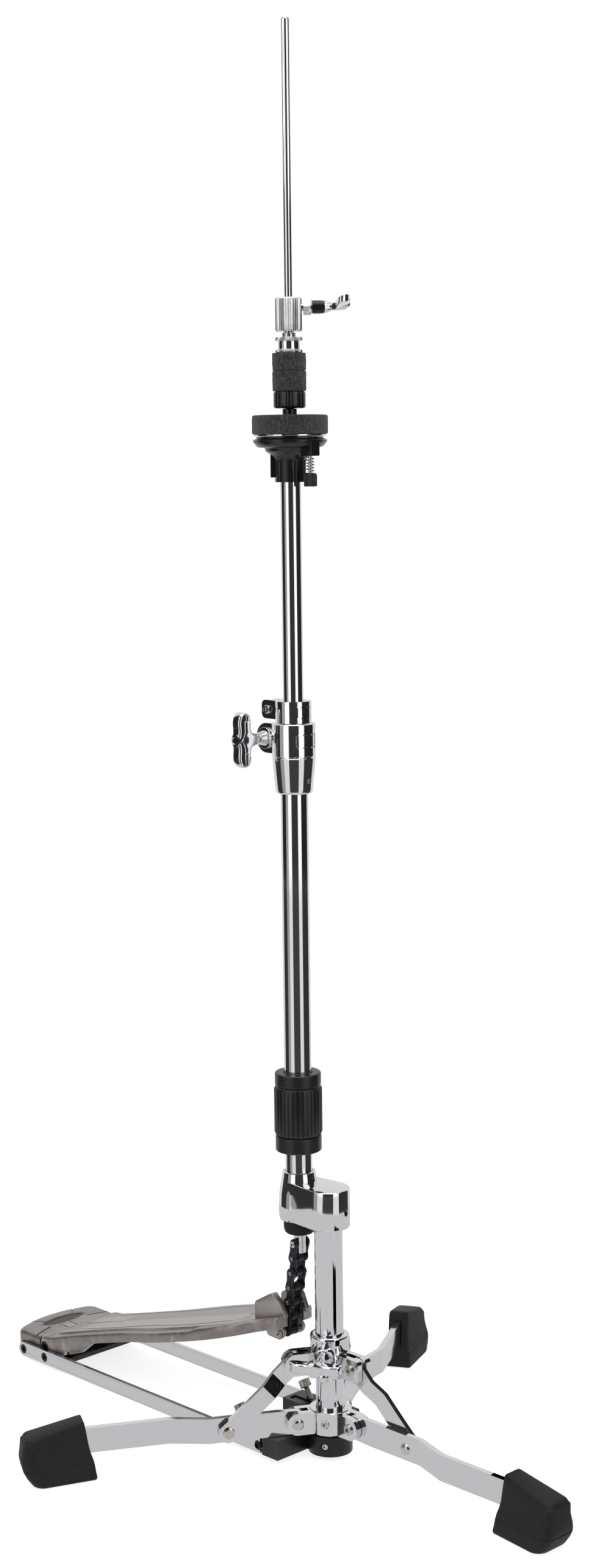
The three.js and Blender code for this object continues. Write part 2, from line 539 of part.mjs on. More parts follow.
// ---------------------------------------------------------------- bracket, bumper, column
put('offset_bracket', (() => {
  const socket = lathe([[LOWER_TUBE_D / 2 + GAP, BRACKET_Z[0] + 3], [LOWER_TUBE_D / 2 + GAP, BRACKET_Z[2]], [BRACKET_RIM_D / 2, BRACKET_Z[2]], [BRACKET_SOCKET_D / 2 - 0.6, BRACKET_Z[1] - 8], [BRACKET_SOCKET_D / 2, BRACKET_Z[0] + 6], [BRACKET_SOCKET_D / 2 - 0.6, BRACKET_Z[0]], [9.6, BRACKET_Z[0]], [9.6, BRACKET_Z[0] + 3]], 0, 0, 40);
  const lobe = cyl(BRACKET_LOBE_D / 2, BRACKET_Z[0], BRACKET_Z[1], 0, COLUMN_Y, 44);
  const s = new THREE.Shape();
  s.moveTo(-14, 0);
  s.lineTo(-BRACKET_LOBE_D / 2 + 0.2, COLUMN_Y);
  s.lineTo(BRACKET_LOBE_D / 2 - 0.2, COLUMN_Y);
  s.lineTo(14, 0);
  s.closePath();
  const web = prism(s, BRACKET_Z[0], BRACKET_Z[1]);
  return cut(add(socket, lobe, web),
    cyl(LOWER_TUBE_D / 2 + GAP, LOWER_TUBE_Z[0] - 0.4, 230, 0, 0, 36),
    cyl(9.6, 180, 200, 0, 0, 36),
    cyl(COLUMN_D / 2 + GAP, 180, COLUMN_Z[1] + 0.4, 0, COLUMN_Y, 36));
})(), chrome);
put('rod_bumper', lathe([[CONN_D / 2 + 1.2, BUMPER_Z[0]], [BUMPER_D / 2 - 3.4, BUMPER_Z[0]], [BUMPER_D / 2 - 0.7, BUMPER_Z[0] + 2.4], [BUMPER_D / 2, BUMPER_Z[0] + 6], [BUMPER_D / 2, BUMPER_Z[1]], [CONN_D / 2 + 1.2, BUMPER_Z[1]]], 0, 0, 36), rubber);
put('side_column', lathe([[COLUMN_BORE / 2, COLUMN_Z[0]], [COLUMN_D / 2, COLUMN_Z[0]], [COLUMN_D / 2, COLUMN_Z[1]], [COLUMN_BORE / 2, COLUMN_Z[1]]], 0, COLUMN_Y, 36), chrome);

// ---------------------------------------------------------------- leg hub, collar, legs, braces, feet
const place = (b, az) => turned(b, az, 0, COLUMN_Y);
const slotHub = LEG_T / 2 + 0.4;
function forks(b, pinR, pinZ, slot, cheek, reach) {
  let r = b;
  for (const az of LEG_AZ) {
    const ear = legPrism(linkShape([12, pinZ], [pinR, pinZ], 2 * EAR_R), -cheek, cheek);
    r = r.add(place(ear, az));
  }
  for (const az of LEG_AZ) r = r.subtract(place(box(reach, 60, -slot, slot, pinZ - 20, pinZ + 14.5), az));
  for (const az of LEG_AZ) r = r.add(place(legPin(pinR, pinZ, PIN_D, -cheek - 0.4, cheek + 0.4, 20), az));
  return r;
}
put('leg_hub', cut(
  forks(cyl(HUB_D / 2, HUB_Z[0], HUB_Z[1], 0, COLUMN_Y, 44), HUB_PIN_R, HUB_PIN_Z, slotHub, 8, 18.4),
  cyl(COLUMN_D / 2 + GAP, 0, 60, 0, COLUMN_Y, 36),
), chrome);
const slotCollar = BRACE_T / 2 + 0.4;
put('leg_collar', (() => {
  const shell = cyl(COLLAR_D[1] / 2, COLLAR_Z[0], 84, 0, COLUMN_Y, 44).add(cyl(COLLAR_D[1] / 2, 84, COLLAR_Z[1], 0, COLUMN_Y, 44, COLLAR_D[0] / 2));
  const housing = (() => {
    const g = new THREE.CylinderGeometry(7.4, 7.4, 14, facets(28));
    g.rotateZ(Math.PI / 2);
    g.translate(17, 0, COLLAR_BOLT_Z);
    return place(solid(g).add(box(10, 22, -7.4, 7.4, 71, COLLAR_BOLT_Z)), COLLAR_BOLT_AZ);
  })();
  const hole = (() => {
    const g = new THREE.CylinderGeometry(3.6, 3.6, 30, facets(20));
    g.rotateZ(Math.PI / 2);
    g.translate(20, 0, COLLAR_BOLT_Z);
    return place(solid(g), COLLAR_BOLT_AZ);
  })();
  return cut(forks(shell.add(housing), COLLAR_PIN_R, COLLAR_PIN_Z, slotCollar, 7.2, 17.4), cyl(COLUMN_D / 2 + GAP, 0, 130, 0, COLUMN_Y, 36), hole);
})(), chrome);
put('collar_wing_bolt', place(moved(add(
  wingBolt(25, 44, WING_SPAN, 11, [6.4, 11.8], true),
), 0, 0, COLLAR_BOLT_Z), COLLAR_BOLT_AZ), chrome);

const legPlan = [[HUB_PIN_R - EAR_R, -LEG_T / 2], [JOGGLE_R[0], -LEG_T / 2], [JOGGLE_R[1], JOGGLE_T - LEG_T / 2], [LEG_END_R, JOGGLE_T - LEG_T / 2], [LEG_END_R, JOGGLE_T + LEG_T / 2], [JOGGLE_R[1] + 1, JOGGLE_T + LEG_T / 2], [JOGGLE_R[0] + 1, LEG_T / 2], [HUB_PIN_R - EAR_R, LEG_T / 2]];
function legBar(grow = 0) {
  const plan = grow ? [[150, JOGGLE_T - LEG_T / 2 - grow], [LEG_END_R + grow, JOGGLE_T - LEG_T / 2 - grow], [LEG_END_R + grow, JOGGLE_T + LEG_T / 2 + grow], [150, JOGGLE_T + LEG_T / 2 + grow]] : legPlan;
  const side = new THREE.Shape();
  const e = 9.2;
  side.absarc(HUB_PIN_R, HUB_PIN_Z, e, Math.PI / 2, (3 * Math.PI) / 2, false);
  side.lineTo(HUB_PIN_R + 12, LEG_Z[0] - grow);
  side.lineTo(260, LEG_Z[0] - grow);
  side.lineTo(260, LEG_Z[1] + grow);
  side.lineTo(HUB_PIN_R + 12, LEG_Z[1] + grow);
  side.closePath();
  return prism(plan, 0, 60).intersect(legPrism(side, -40, 40));
}
const footBody = (() => {
  const t = JOGGLE_T;
  // stacked outlines: [z, inner r, outer r, outer half width, inner half width]
  const levels = [[0, 187.5, 235.5, 16.4, 11.4], [1.4, 186.6, 237, 17.4, 12], [13, 188.4, 244.4, 17.6, 10.6], [20, 190.6, 245.6, 15.2, 9.4], [34, 194.4, 243, 12.2, 8.8]];
  const hullPair = (a, b) => {
    const pts = [];
    for (const [z, r0, r1, h, n0] of [a, b]) {
      const c = Math.min(7, h * 0.4);
      for (const [r, w] of [[r0, -n0], [r1 - c, -h], [r1, -h + c], [r1, h - c], [r1 - c, h], [r0, n0]]) pts.push([r, t + w, z]);
    }
    const g = new THREE.BufferGeometry();
    g.setAttribute('position', new THREE.BufferAttribute(new Float32Array(pts.flat()), 3));
    const idx = [];
    const n = 6;
    for (let i = 0; i < n; i += 1) {
      const j = (i + 1) % n;
      idx.push(i, j, n + i, j, n + j, n + i);
    }
    for (let i = 1; i < n - 1; i += 1) idx.push(0, i + 1, i, n, n + i, n + i + 1);
    g.setIndex(idx);
    return solid(g);
  };
  let b = hullPair(levels[0], levels[1]);
  for (let i = 1; i < levels.length - 1; i += 1) b = b.add(hullPair(levels[i], levels[i + 1]));
  // sloping top
  const top = [[194.4, 34, 8.8], [243, 34, 12.2], [240, 37, 9.4], [199, 47, 6.6], [197.6, 46.4, 7.4]];
  const g = new THREE.BufferGeometry();
  const pts = [];
  for (const [r, z, h] of top) for (const w of [-h, h]) pts.push([r, t + w, z]);
  g.setAttribute('position', new THREE.BufferAttribute(new Float32Array(pts.flat()), 3));
  const idx = [];
  const n = top.length;
  for (let i = 0; i < n; i += 1) {
    const j = (i + 1) % n;
    idx.push(2 * i, 2 * j, 2 * i + 1, 2 * j, 2 * j + 1, 2 * i + 1);
  }
  for (let i = 1; i < n - 1; i += 1) idx.push(0, 2 * (i + 1), 2 * i, 1, 2 * i + 1, 2 * (i + 1) + 1);
  g.setIndex(idx);
  b = b.add(solid(g));
  return b.subtract(legBar(GAP));
})();
const bracePins = [[LEG_PIN_R, LEG_PIN_Z], [COLLAR_PIN_R, COLLAR_PIN_Z]];
const braceBody = (() => {
  const [a, c] = bracePins;
  const len = Math.hypot(a[0] - c[0], a[1] - c[1]);
  const ang = Math.atan2(a[1] - c[1], a[0] - c[0]);
  const tLow = LEG_T / 2 + 0.4;
  // length along +x from the collar pin, thickness along y
  const plan = [[-10, -BRACE_T / 2], [18, -BRACE_T / 2], [30, tLow], [len + 10, tLow], [len + 10, tLow + BRACE_T], [29, tLow + BRACE_T], [17, BRACE_T / 2], [-10, BRACE_T / 2]];
  const side = linkShape([0, 0], [len, 0], BRACE_W);
  const bar = prism(plan, -20, 20).intersect(legPrism(side, -20, 20));
  const bored = cut(bar, legPin(0, 0, BRACE_HOLE, -20, 20, 28), legPin(len, 0, PIN_D + 0.6, -20, 20, 24));
  const g = geometryOf(bored);
  g.rotateY(-ang);
  g.translate(c[0], 0, c[1]);
  return solid(g);
})();
const legBody = cut(legBar(), legPin(HUB_PIN_R, HUB_PIN_Z, PIN_D + 0.6, -10, 10, 24)).add(legPin(LEG_PIN_R, LEG_PIN_Z, PIN_D, -LEG_T / 2 - 1.8, LEG_T / 2 + BRACE_T + 2, 20))
  .add(legPin(LEG_PIN_R, LEG_PIN_Z, 9, -LEG_T / 2 - 1.8, -LEG_T / 2 + 0.5, 24)).add(legPin(LEG_PIN_R, LEG_PIN_Z, 8.4, LEG_T / 2 + BRACE_T + 0.7, LEG_T / 2 + BRACE_T + 2, 24));
LEG_AZ.forEach((az, i) => {
  const tag = ['front', 'left', 'right'][i];
  put(`leg_${tag}`, place(legBody, az), chrome);
  put(`foot_${tag}`, place(footBody, az), rubber);
  put(`brace_${tag}`, place(braceBody, az), chrome);
});

// ---------------------------------------------------------------- base block, rails, spurs
const spurDir = [0, Math.sin(rad(SPUR_TILT)), -Math.cos(rad(SPUR_TILT))];
function spurSolid(x, parts) {
  const list = parts.map(([r, l0, l1, seg]) => {
    const g = new THREE.CylinderGeometry(r, r, l1 - l0, facets(seg));
    g.rotateX(Math.PI / 2);
    g.translate(0, 0, -(l0 + l1) / 2);
    g.rotateX(rad(SPUR_TILT));
    g.translate(x, SPUR_HEAD[0], SPUR_HEAD[1]);
    return solid(g);
  });
  return add(...list);
}
put('base_block', (() => {
  const neck = prism([[-15, COLUMN_Y], [-13, BLOCK_Y[1] - 1], [13, BLOCK_Y[1] - 1], [15, COLUMN_Y]], BLOCK_Z[0], BLOCK_Z[1]);
  const bar = box(-46, 46, BLOCK_Y[0], BLOCK_Y[1], BLOCK_Z[0], BLOCK_Z[1]);
  const tabs = [-1, 1].map((s) => box(Math.min(20 * s, 42.9 * s), Math.max(20 * s, 42.9 * s), TAB_Y, BLOCK_Y[0] + 1, 6, BLOCK_Z[1]));
  let b = add(cyl(BLOCK_R, BLOCK_Z[0], BLOCK_Z[1], 0, COLUMN_Y, 44), neck, bar, ...tabs);
  b = cut(b, cyl(COLUMN_D / 2 + GAP, COLUMN_Z[0] - 0.4, 40, 0, COLUMN_Y, 36));
  for (const s of [-1, 1]) b = cut(b, spurSolid(SPUR_X * s, [[2.9, -10, 60, 20]]), xPin(RAIL_BOLT[0], RAIL_BOLT[1], 4.6, Math.min(34 * s, 44 * s), Math.max(34 * s, 44 * s), 20));
  return b;
})(), blackMetal);
for (const s of [1, -1]) {
  const side = s > 0 ? 'right' : 'left';
  const [x0, x1] = s > 0 ? RAIL_X : [-RAIL_X[1], -RAIL_X[0]];
  const zc = (RAIL_Z[0] + RAIL_Z[1]) / 2;
  const h = (RAIL_Z[1] - RAIL_Z[0]) / 2;
  const profile = [];
  for (let i = 0; i <= 8; i += 1) profile.push([RAIL_Y[0] + h - h * Math.sin((i / 8) * Math.PI), zc + h * Math.cos((i / 8) * Math.PI)]);
  profile.push([RAIL_Y[1], RAIL_Z[0]], [RAIL_Y[1], RAIL_Z[1]]);
  put(`rail_${side}`, cut(sidePrism(profile, x0, x1), xPin(RAIL_BOLT[0], RAIL_BOLT[1], 7.4, -60, 60, 24)), chrome);
  const b = add(xPin(RAIL_BOLT[0], RAIL_BOLT[1], 4, 36, 44, 16), xPin(RAIL_BOLT[0], RAIL_BOLT[1], 6.8, 43.3, 48, 24));
  put(`rail_bolt_${side}`, s > 0 ? b : turned(moved(b, 0, -2 * RAIL_BOLT[0], 0), 180), blackMetal);
  put(`spur_${side}`, spurSolid(SPUR_X * s, [[4.8, -3.2, 3.6, 28], [2.5, 0, 29, 20], [1.2, 28, 32, 12]]), satin);
}

// ---------------------------------------------------------------- heel
// outline of the heel seen from above: small rounded corners and a gently bowed back edge
function heelOutline(k, back) {
  const s = new THREE.Shape();
  s.moveTo(k, HEEL_Y[1]);
  s.lineTo(k, back + 15);
  s.bezierCurveTo(k, back + 9.5, k - 3, back + 7.4, k - 8, back + 5.8);
  s.bezierCurveTo(k - 20, back + 2, 14, back, 0, back);
  s.bezierCurveTo(-14, back, -k + 20, back + 2, -k + 8, back + 5.8);
  s.bezierCurveTo(-k + 3, back + 7.4, -k, back + 9.5, -k, back + 15);
  s.lineTo(-k, HEEL_Y[1]);
  s.closePath();
  return s;
}
put('heel_base_plate', (() => {
  const plateBody = prism(heelOutline(43.1, PLATE_Y[0]), PLATE_Z[0], PLATE_Z[1]).add(box(-43.1, 43.1, HEEL_Y[1] - 2, PLATE_Y[1], PLATE_Z[0], PLATE_Z[1]));
  const pad = box(-34, 34, PLATE_Y[0] + 6, PLATE_Y[1] - 8, 0, PLATE_Z[0] + 0.5);
  const flange = [-1, 1].map((s) => box(Math.min(39.8 * s, 43.1 * s), Math.max(39.8 * s, 43.1 * s), PLATE_Y[0] + 15, HEEL_Y[1] + 0.6, PLATE_Z[0], 15.4));
  const lug = [-1, 1].map((s) => legLug(s));
  return cut(add(plateBody, pad, ...flange, ...lug), xPin(HINGE_Y, HINGE_Z, 5.6, -30, 30, 24));
})(), blackMetal);
function legLug(s) {
  const shape = [];
  for (let i = 0; i <= 8; i += 1) shape.push([HINGE_Y + 5 * Math.cos((i / 8) * Math.PI), HINGE_Z + 5 * Math.sin((i / 8) * Math.PI)]);
  shape.push([HINGE_Y - 5, PLATE_Z[0] + 1], [HINGE_Y + 5, PLATE_Z[0] + 1]);
  return sidePrism(shape, Math.min(14 * s, 22 * s), Math.max(14 * s, 22 * s));
}
put('heel_plate', (() => {
  const s = heelOutline(HEEL_HALF, HEEL_Y[0]);
  const top = heelOutline(HEEL_HALF - 2, HEEL_Y[0] + 2);
  const upper = prism(s, 15.7, HEEL_TOP_Z - 2).add(prism(top, HEEL_TOP_Z - 2.1, HEEL_TOP_Z));
  return upper.add(prism(s, PLATE_Z[1] + GAP, 16).intersect(box(-39.4, 39.4, -340, HEEL_Y[1], 0, 30)));
})(), cast);

// ---------------------------------------------------------------- footboard
const boardTop = (y) => BOARD_TOP_Z + BOARD_SLOPE * (y - BOARD_REF_Y);
const boardOutline = (inset, y0, y1) => {
  const rows = BOARD_HALF.filter(([y]) => y > y0 && y < y1);
  const half = (y) => {
    for (let i = 1; i < BOARD_HALF.length; i += 1) {
      const [ya, ha] = BOARD_HALF[i - 1];
      const [yb, hb] = BOARD_HALF[i];
      if (y <= yb) return ha + ((hb - ha) * (y - ya)) / (yb - ya);
    }
    return BOARD_HALF[BOARD_HALF.length - 1][1];
  };
  const list = [[y0, half(y0)], ...rows, [y1, half(y1)]];
  return [...list.map(([y, h]) => [h - inset, y]), ...list.reverse().map(([y, h]) => [-(h - inset), y])];
};
put('footboard', (() => {
  const y0 = BOARD_HALF[0][0];
  const y1 = BOARD_HALF[BOARD_HALF.length - 1][0];
  const profile = [[y0, boardTop(y0)], [y0, 13], [y0 + 3, 10.4], [-272, 9.4], [-262, 11.6], [-232, 22.4], [-217, boardTop(-217) - BOARD_T], [y1, boardTop(y1) - BOARD_T], [y1, boardTop(y1)]];
  let b = prism(boardOutline(0, y0, y1), 0, 160).intersect(sidePrism(profile, -60, 60));
  // hollow underside
  const roof = [[y0 + 9, 0], [y0 + 9, boardTop(y0 + 9) - 4], [-44, boardTop(-44) - 4], [-44, 0]];
  b = b.subtract(prism(boardOutline(4, y0 + 9, -44), 0, 160).intersect(sidePrism(roof, -60, 60)));
  // room for the hinge lugs of the base plate and for the heel
  b = b.subtract(sidePrism([[y0 - 1, 0], [y0 - 1, HINGE_Z + 7.4], [HINGE_Y + 8, HINGE_Z + 7.4], [HINGE_Y + 16, 0]], -23.4, 23.4));
  // chain notch
  b = b.subtract(box(-9, 9, -19.5, 10, 60, 140));
  // toe lugs on each side of the chain
  for (const k of [-1, 1]) {
    const plan = [[19.5 * k, LUG_Y[0]], [9.8 * k, LUG_Y[0]], [9.8 * k, LUG_Y[2]], [13.5 * k, LUG_Y[2]]];
    const side = [[LUG_Y[0], boardTop(LUG_Y[0]) - 2], [LUG_Y[0], LUG_Z[0]], [LUG_Y[1], LUG_Z[1]], [LUG_Y[2], LUG_Z[2]], [LUG_Y[2], boardTop(-6) - 2]];
    b = b.add(prism(k > 0 ? [...plan].reverse() : plan, 90, 140).intersect(sidePrism(side, -30, 30)));
  }
  // clevis for the chain
  for (const s of [-1, 1]) {
    b = b.add(sidePrism([[-29, boardTop(-29) - BOARD_T + 1], [-26.6, 84.4], [-9.4, 84.4], [-7.4, 86.4], [-7.4, 93], [-11.5, boardTop(-11.5) - BOARD_T + 1]], Math.min(9 * s, 12 * s), Math.max(9 * s, 12 * s)));
  }
  return cut(b, xPin(HINGE_Y, HINGE_Z, 5.6, -60, 60, 24), xPin(TOE_PIN_Y, TOE_PIN_Z, 4.4, -20, 20, 20), xPin(HINGE_Y, HINGE_Z, 9.6, 38, 60, 28), xPin(HINGE_Y, HINGE_Z, 9.6, -60, -38, 28));
})(), cast);
put('hinge_pin', add(xPin(HINGE_Y, HINGE_Z, 5, -39.6, 39.6, 24)), satin);
put('toe_pin', add(xPin(TOE_PIN_Y, TOE_PIN_Z, CHAIN_PIN_D, -12.4, 12.4, 20), xPin(TOE_PIN_Y, TOE_PIN_Z, 6.6, 12.3, 13.8, 24), xPin(TOE_PIN_Y, TOE_PIN_Z, 6.6, -13.8, -12.3, 24)), satin);

out.position.set(...SHIFT);
export default out;
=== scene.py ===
import math
import bmesh
import bpy
from mathutils import Matrix, Vector, noise


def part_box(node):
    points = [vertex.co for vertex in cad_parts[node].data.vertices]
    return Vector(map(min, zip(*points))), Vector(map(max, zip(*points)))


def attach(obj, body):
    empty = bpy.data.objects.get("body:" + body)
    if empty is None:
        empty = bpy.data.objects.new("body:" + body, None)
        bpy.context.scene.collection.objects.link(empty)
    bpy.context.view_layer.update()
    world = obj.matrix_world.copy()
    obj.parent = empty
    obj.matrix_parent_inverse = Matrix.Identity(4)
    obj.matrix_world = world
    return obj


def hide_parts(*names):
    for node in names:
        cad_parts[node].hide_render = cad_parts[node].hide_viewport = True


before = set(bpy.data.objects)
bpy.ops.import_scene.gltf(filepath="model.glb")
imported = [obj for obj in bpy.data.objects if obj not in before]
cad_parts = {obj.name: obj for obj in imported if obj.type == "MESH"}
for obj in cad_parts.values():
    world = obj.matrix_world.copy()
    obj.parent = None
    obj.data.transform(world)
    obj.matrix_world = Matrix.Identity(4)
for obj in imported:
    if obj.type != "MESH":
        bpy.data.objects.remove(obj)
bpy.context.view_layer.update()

# Lengths are millimetres from the point where the pull rod's axis meets the floor.
# IN_FRAME brings them into the frame. y runs from the heel towards the column, and x to the right.
MM = 0.001


def middle(node):
    """Centre of a CAD node's box, in the frame."""
    low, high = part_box(node)
    return (low + high) / 2


def span(node):
    """Lowest and highest z of a CAD node, in millimetres."""
    low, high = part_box(node)
    return low.z / MM, high.z / MM


ROD_AXIS = middle("upper_tube")
COLUMN = middle("side_column")
COLUMN_Y = (COLUMN.y - ROD_AXIS.y) / MM
IN_FRAME = Matrix.Translation((ROD_AXIS.x, ROD_AXIS.y, 0)) @ Matrix.Scale(MM, 4)
LEG_AZIMUTHS = {"front": 90, "left": 210, "right": 330}
SCREW_SIDE = 30  # azimuth of the screws that hold the collar, the hub and the base on the column
UPPER_HOLE = 8.25  # radius of a hole for the upper tube
LOWER_HOLE = 11.05  # radius of a hole for the lower tube
COLUMN_HOLE = 11.4  # radius of a hole for the column


# ------------------------------------------------------------------ materials
def noise_node(tree, vector, scale, detail):
    node = tree.nodes.new("ShaderNodeTexNoise")
    node.inputs["Scale"].default_value = scale
    node.inputs["Detail"].default_value = detail
    tree.links.new(vector, node.inputs["Vector"])
    return node.outputs


def remap(tree, value, **ends):
    """Scales a value between ranges, whose ends are from_min, from_max, to_min and to_max."""
    node = tree.nodes.new("ShaderNodeMapRange")
    for end, number in ends.items():
        node.inputs[end.replace("_", " ").title()].default_value = number
    tree.links.new(value, node.inputs["Value"])
    return node.outputs["Result"]


def mixed(tree, factor, colour, other):
    """Colour that goes from a linked colour to a fixed one as the factor grows."""
    node = tree.nodes.new("ShaderNodeMix")
    node.data_type = "RGBA"
    tree.links.new(factor, node.inputs["Factor"])
    tree.links.new(colour, node.inputs["A"])
    node.inputs["B"].default_value = (*other, 1)
    return node.outputs["Result"]


def raised(tree, shader, height, strength, distance):
    node = tree.nodes.new("ShaderNodeBump")
    node.inputs["Strength"].default_value = strength
    node.inputs["Distance"].default_value = distance
    tree.links.new(height, node.inputs["Height"])
    tree.links.new(node.outputs["Normal"], shader.inputs["Normal"])


def pointiness(tree):
    return tree.nodes.new("ShaderNodeNewGeometry").outputs["Pointiness"]


def look(name, base, metallic, rough, rough_var=0.0, grain=400.0, bump=0.0, bump_scale=900.0,
         tint=0.0, stretch=(1, 1, 1), wear=0.0, hollow_shade=0.0, shine=0.5):
    """Material with grain in its roughness and colour, lighter worn edges and painted shade that darkens
    its hollows.
    """
    material = bpy.data.materials.new(name)
    material.use_nodes = True
    tree = material.node_tree
    shader = tree.nodes["Principled BSDF"]
    shader.inputs["Base Color"].default_value = (*base, 1)
    shader.inputs["Metallic"].default_value = metallic
    shader.inputs["Roughness"].default_value = rough
    shader.inputs["Specular IOR Level"].default_value = shine
    scaled = tree.nodes.new("ShaderNodeMapping")
    scaled.inputs["Scale"].default_value = stretch
    place = tree.nodes.new("ShaderNodeTexCoord")
    tree.links.new(place.outputs["Object"], scaled.inputs["Vector"])
    grains = noise_node(tree, scaled.outputs["Vector"], grain, 6)["Fac"]
    if rough_var:
        varied = remap(tree, grains, to_min=max(0.02, rough - rough_var), to_max=rough + rough_var)
        tree.links.new(varied, shader.inputs["Roughness"])
    if tint or wear:
        ramp = tree.nodes.new("ShaderNodeValToRGB")
        stops = ramp.color_ramp.elements
        for stop, position, change in zip(stops, (0.3, 0.7), (1 - tint, 1 + tint)):
            stop.position = position
            stop.color = (*[min(1, v * change) for v in base], 1)
        tree.links.new(grains, ramp.inputs["Fac"])
        colour = ramp.outputs["Color"]
        if wear:
            edge = remap(tree, pointiness(tree), from_min=0.52, from_max=0.62, to_max=wear)
            colour = mixed(tree, edge, colour, [min(1, v * 2.2 + 0.06) for v in base])
        # painted shade: low pointiness darkens the colour in hollows and grooves, where shade falls
        if hollow_shade:
            hollow = remap(tree, pointiness(tree), from_min=0.495, from_max=0.44, to_max=hollow_shade)
            colour = mixed(tree, hollow, colour, [v * 0.12 for v in base])
        tree.links.new(colour, shader.inputs["Base Color"])
    if bump:
        fine = noise_node(tree, scaled.outputs["Vector"], bump_scale, 8)["Fac"]
        raised(tree, shader, fine, bump, 0.0005)
    return material


def felt_look():
    """Pressed wool: dark base with curled lighter fibres lying in all directions."""
    material = look("felt", (0.016, 0.016, 0.018), 0, 0.95, grain=420, tint=0.5, shine=0.15)
    tree = material.node_tree
    shader = tree.nodes["Principled BSDF"]
    shader.inputs["Sheen Weight"].default_value = 0.12
    shader.inputs["Sheen Roughness"].default_value = 0.6
    place = next(n for n in tree.nodes if n.type == "TEX_COORD").outputs["Object"]
    bend = tree.nodes.new("ShaderNodeVectorMath")
    bend.operation = "MULTIPLY_ADD"
    tree.links.new(noise_node(tree, place, 260, 3)["Color"], bend.inputs[0])
    bend.inputs[1].default_value = (0.006, 0.006, 0.006)
    tree.links.new(place, bend.inputs[2])
    either = tree.nodes.new("ShaderNodeMath")
    either.operation = "MAXIMUM"
    for socket, spin in zip(either.inputs, ((0.3, 0.2, 0.5), (1.2, 0.9, 2.1))):
        turned = tree.nodes.new("ShaderNodeMapping")
        turned.inputs["Rotation"].default_value = spin
        turned.inputs["Scale"].default_value = (1, 1, 0.18)
        tree.links.new(bend.outputs["Vector"], turned.inputs["Vector"])
        fibre = noise_node(tree, turned.outputs["Vector"], 1500, 2)["Fac"]
        tree.links.new(remap(tree, fibre, from_min=0.56, from_max=0.68), socket)
    height = either.outputs["Value"]
    wool = shader.inputs["Base Color"].links[0].from_socket
    colour = mixed(tree, height, wool, (0.075, 0.075, 0.08))
    tree.links.new(colour, shader.inputs["Base Color"])
    raised(tree, shader, height, 0.8, 0.0004)
    return material


CHROME = look("chrome", (0.78, 0.78, 0.8), 1, 0.07, rough_var=0.03, grain=60, bump=0.015, bump_scale=50)
BAR_CHROME = look(
    "bar_chrome", (0.76, 0.76, 0.785), 1, 0.11, rough_var=0.05, grain=90, bump=0.05, bump_scale=260
)
SATIN = look(
    "satin_steel", (0.86, 0.85, 0.84), 1, 0.2, rough_var=0.07, grain=300, bump=0.08, bump_scale=700,
    stretch=(1, 1, 0.15)
)
NICKEL = look("nickel", (0.66, 0.62, 0.57), 1, 0.18, rough_var=0.06, grain=300, bump=0.03)
# cast metal; its last argument paints shade that darkens the colour in its hollows and grooves
CAST = look(
    "cast_metal", (0.3, 0.272, 0.262), 0.92, 0.34, rough_var=0.12, grain=150, bump=0.28, bump_scale=1300,
    tint=0.16, wear=0.3, hollow_shade=0.85
)
# painted shade: near-black material for strips laid in the tread's grooves, where shade falls
GROOVE_SHADE = look("groove_painted_shade", (0.07, 0.065, 0.065), 0.6, 0.55, rough_var=0.1, bump=0.2, tint=0.15)
PLASTIC = look(
    "black_plastic", (0.006, 0.006, 0.0065), 0, 0.2, rough_var=0.06, grain=350, bump=0.12, bump_scale=1400,
    tint=0.1
)
PLASTIC_MATTE = look(
    "ribbed_plastic", (0.005, 0.005, 0.0055), 0, 0.34, rough_var=0.08, grain=350, bump=0.2, bump_scale=1600,
    tint=0.12, wear=0.3
)
BLACK_METAL = look(
    "black_paint", (0.0045, 0.0045, 0.005), 0, 0.3, rough_var=0.07, grain=260, bump=0.12, bump_scale=900,
    tint=0.1, wear=0.2, shine=0.38
)
RUBBER = look(
    "rubber", (0.0065, 0.0065, 0.007), 0, 0.6, rough_var=0.1, grain=160, bump=0.3, bump_scale=1300,
    tint=0.3, shine=0.32
)
FELT = felt_look()
CHAIN = look(
    "chain_steel", (0.03, 0.032, 0.038), 0.75, 0.36, rough_var=0.08, grain=300, bump=0.1, tint=0.15,
    wear=0.25
)
CHAIN_PIN = look("chain_pin", (0.3, 0.29, 0.29), 1, 0.35, rough_var=0.08, grain=300, bump=0.08)
RED = look("red_enamel", (0.3, 0.02, 0.03), 0, 0.35, rough_var=0.05, bump=0.05)


# ------------------------------------------------------------------ mesh tools
def turn(profile, seg=96, wave=None, at=(0, 0)):
    """Solid of revolution from a closed (radius, z) outline; wave(i, radius, angle) may change a radius."""
    bm = bmesh.new()
    rings = []
    for k in range(seg):
        a = 2 * math.pi * k / seg
        rings.append([])
        for i, (r, z) in enumerate(profile):
            rr = wave(i, r, a) if wave else r
            rings[-1].append(bm.verts.new((at[0] + rr * math.cos(a), at[1] + rr * math.sin(a), z)))
    n = len(profile)
    for k in range(seg):
        p, q = rings[k], rings[(k + 1) % seg]
        for i in range(n):
            j = (i + 1) % n
            bm.faces.new((p[i], q[i], q[j], p[j]))
    bmesh.ops.remove_doubles(bm, verts=bm.verts, dist=1e-4)
    return bm


def ring(bore, radius, z0, z1, seg=96, **kw):
    return turn([(bore, z0), (radius, z0), (radius, z1), (bore, z1)], seg, **kw)


def disc(radius, z0, z1, seg=64, at=(0, 0)):
    return turn([(0, z0), (radius, z0), (radius, z1), (0, z1)], seg, at=at)


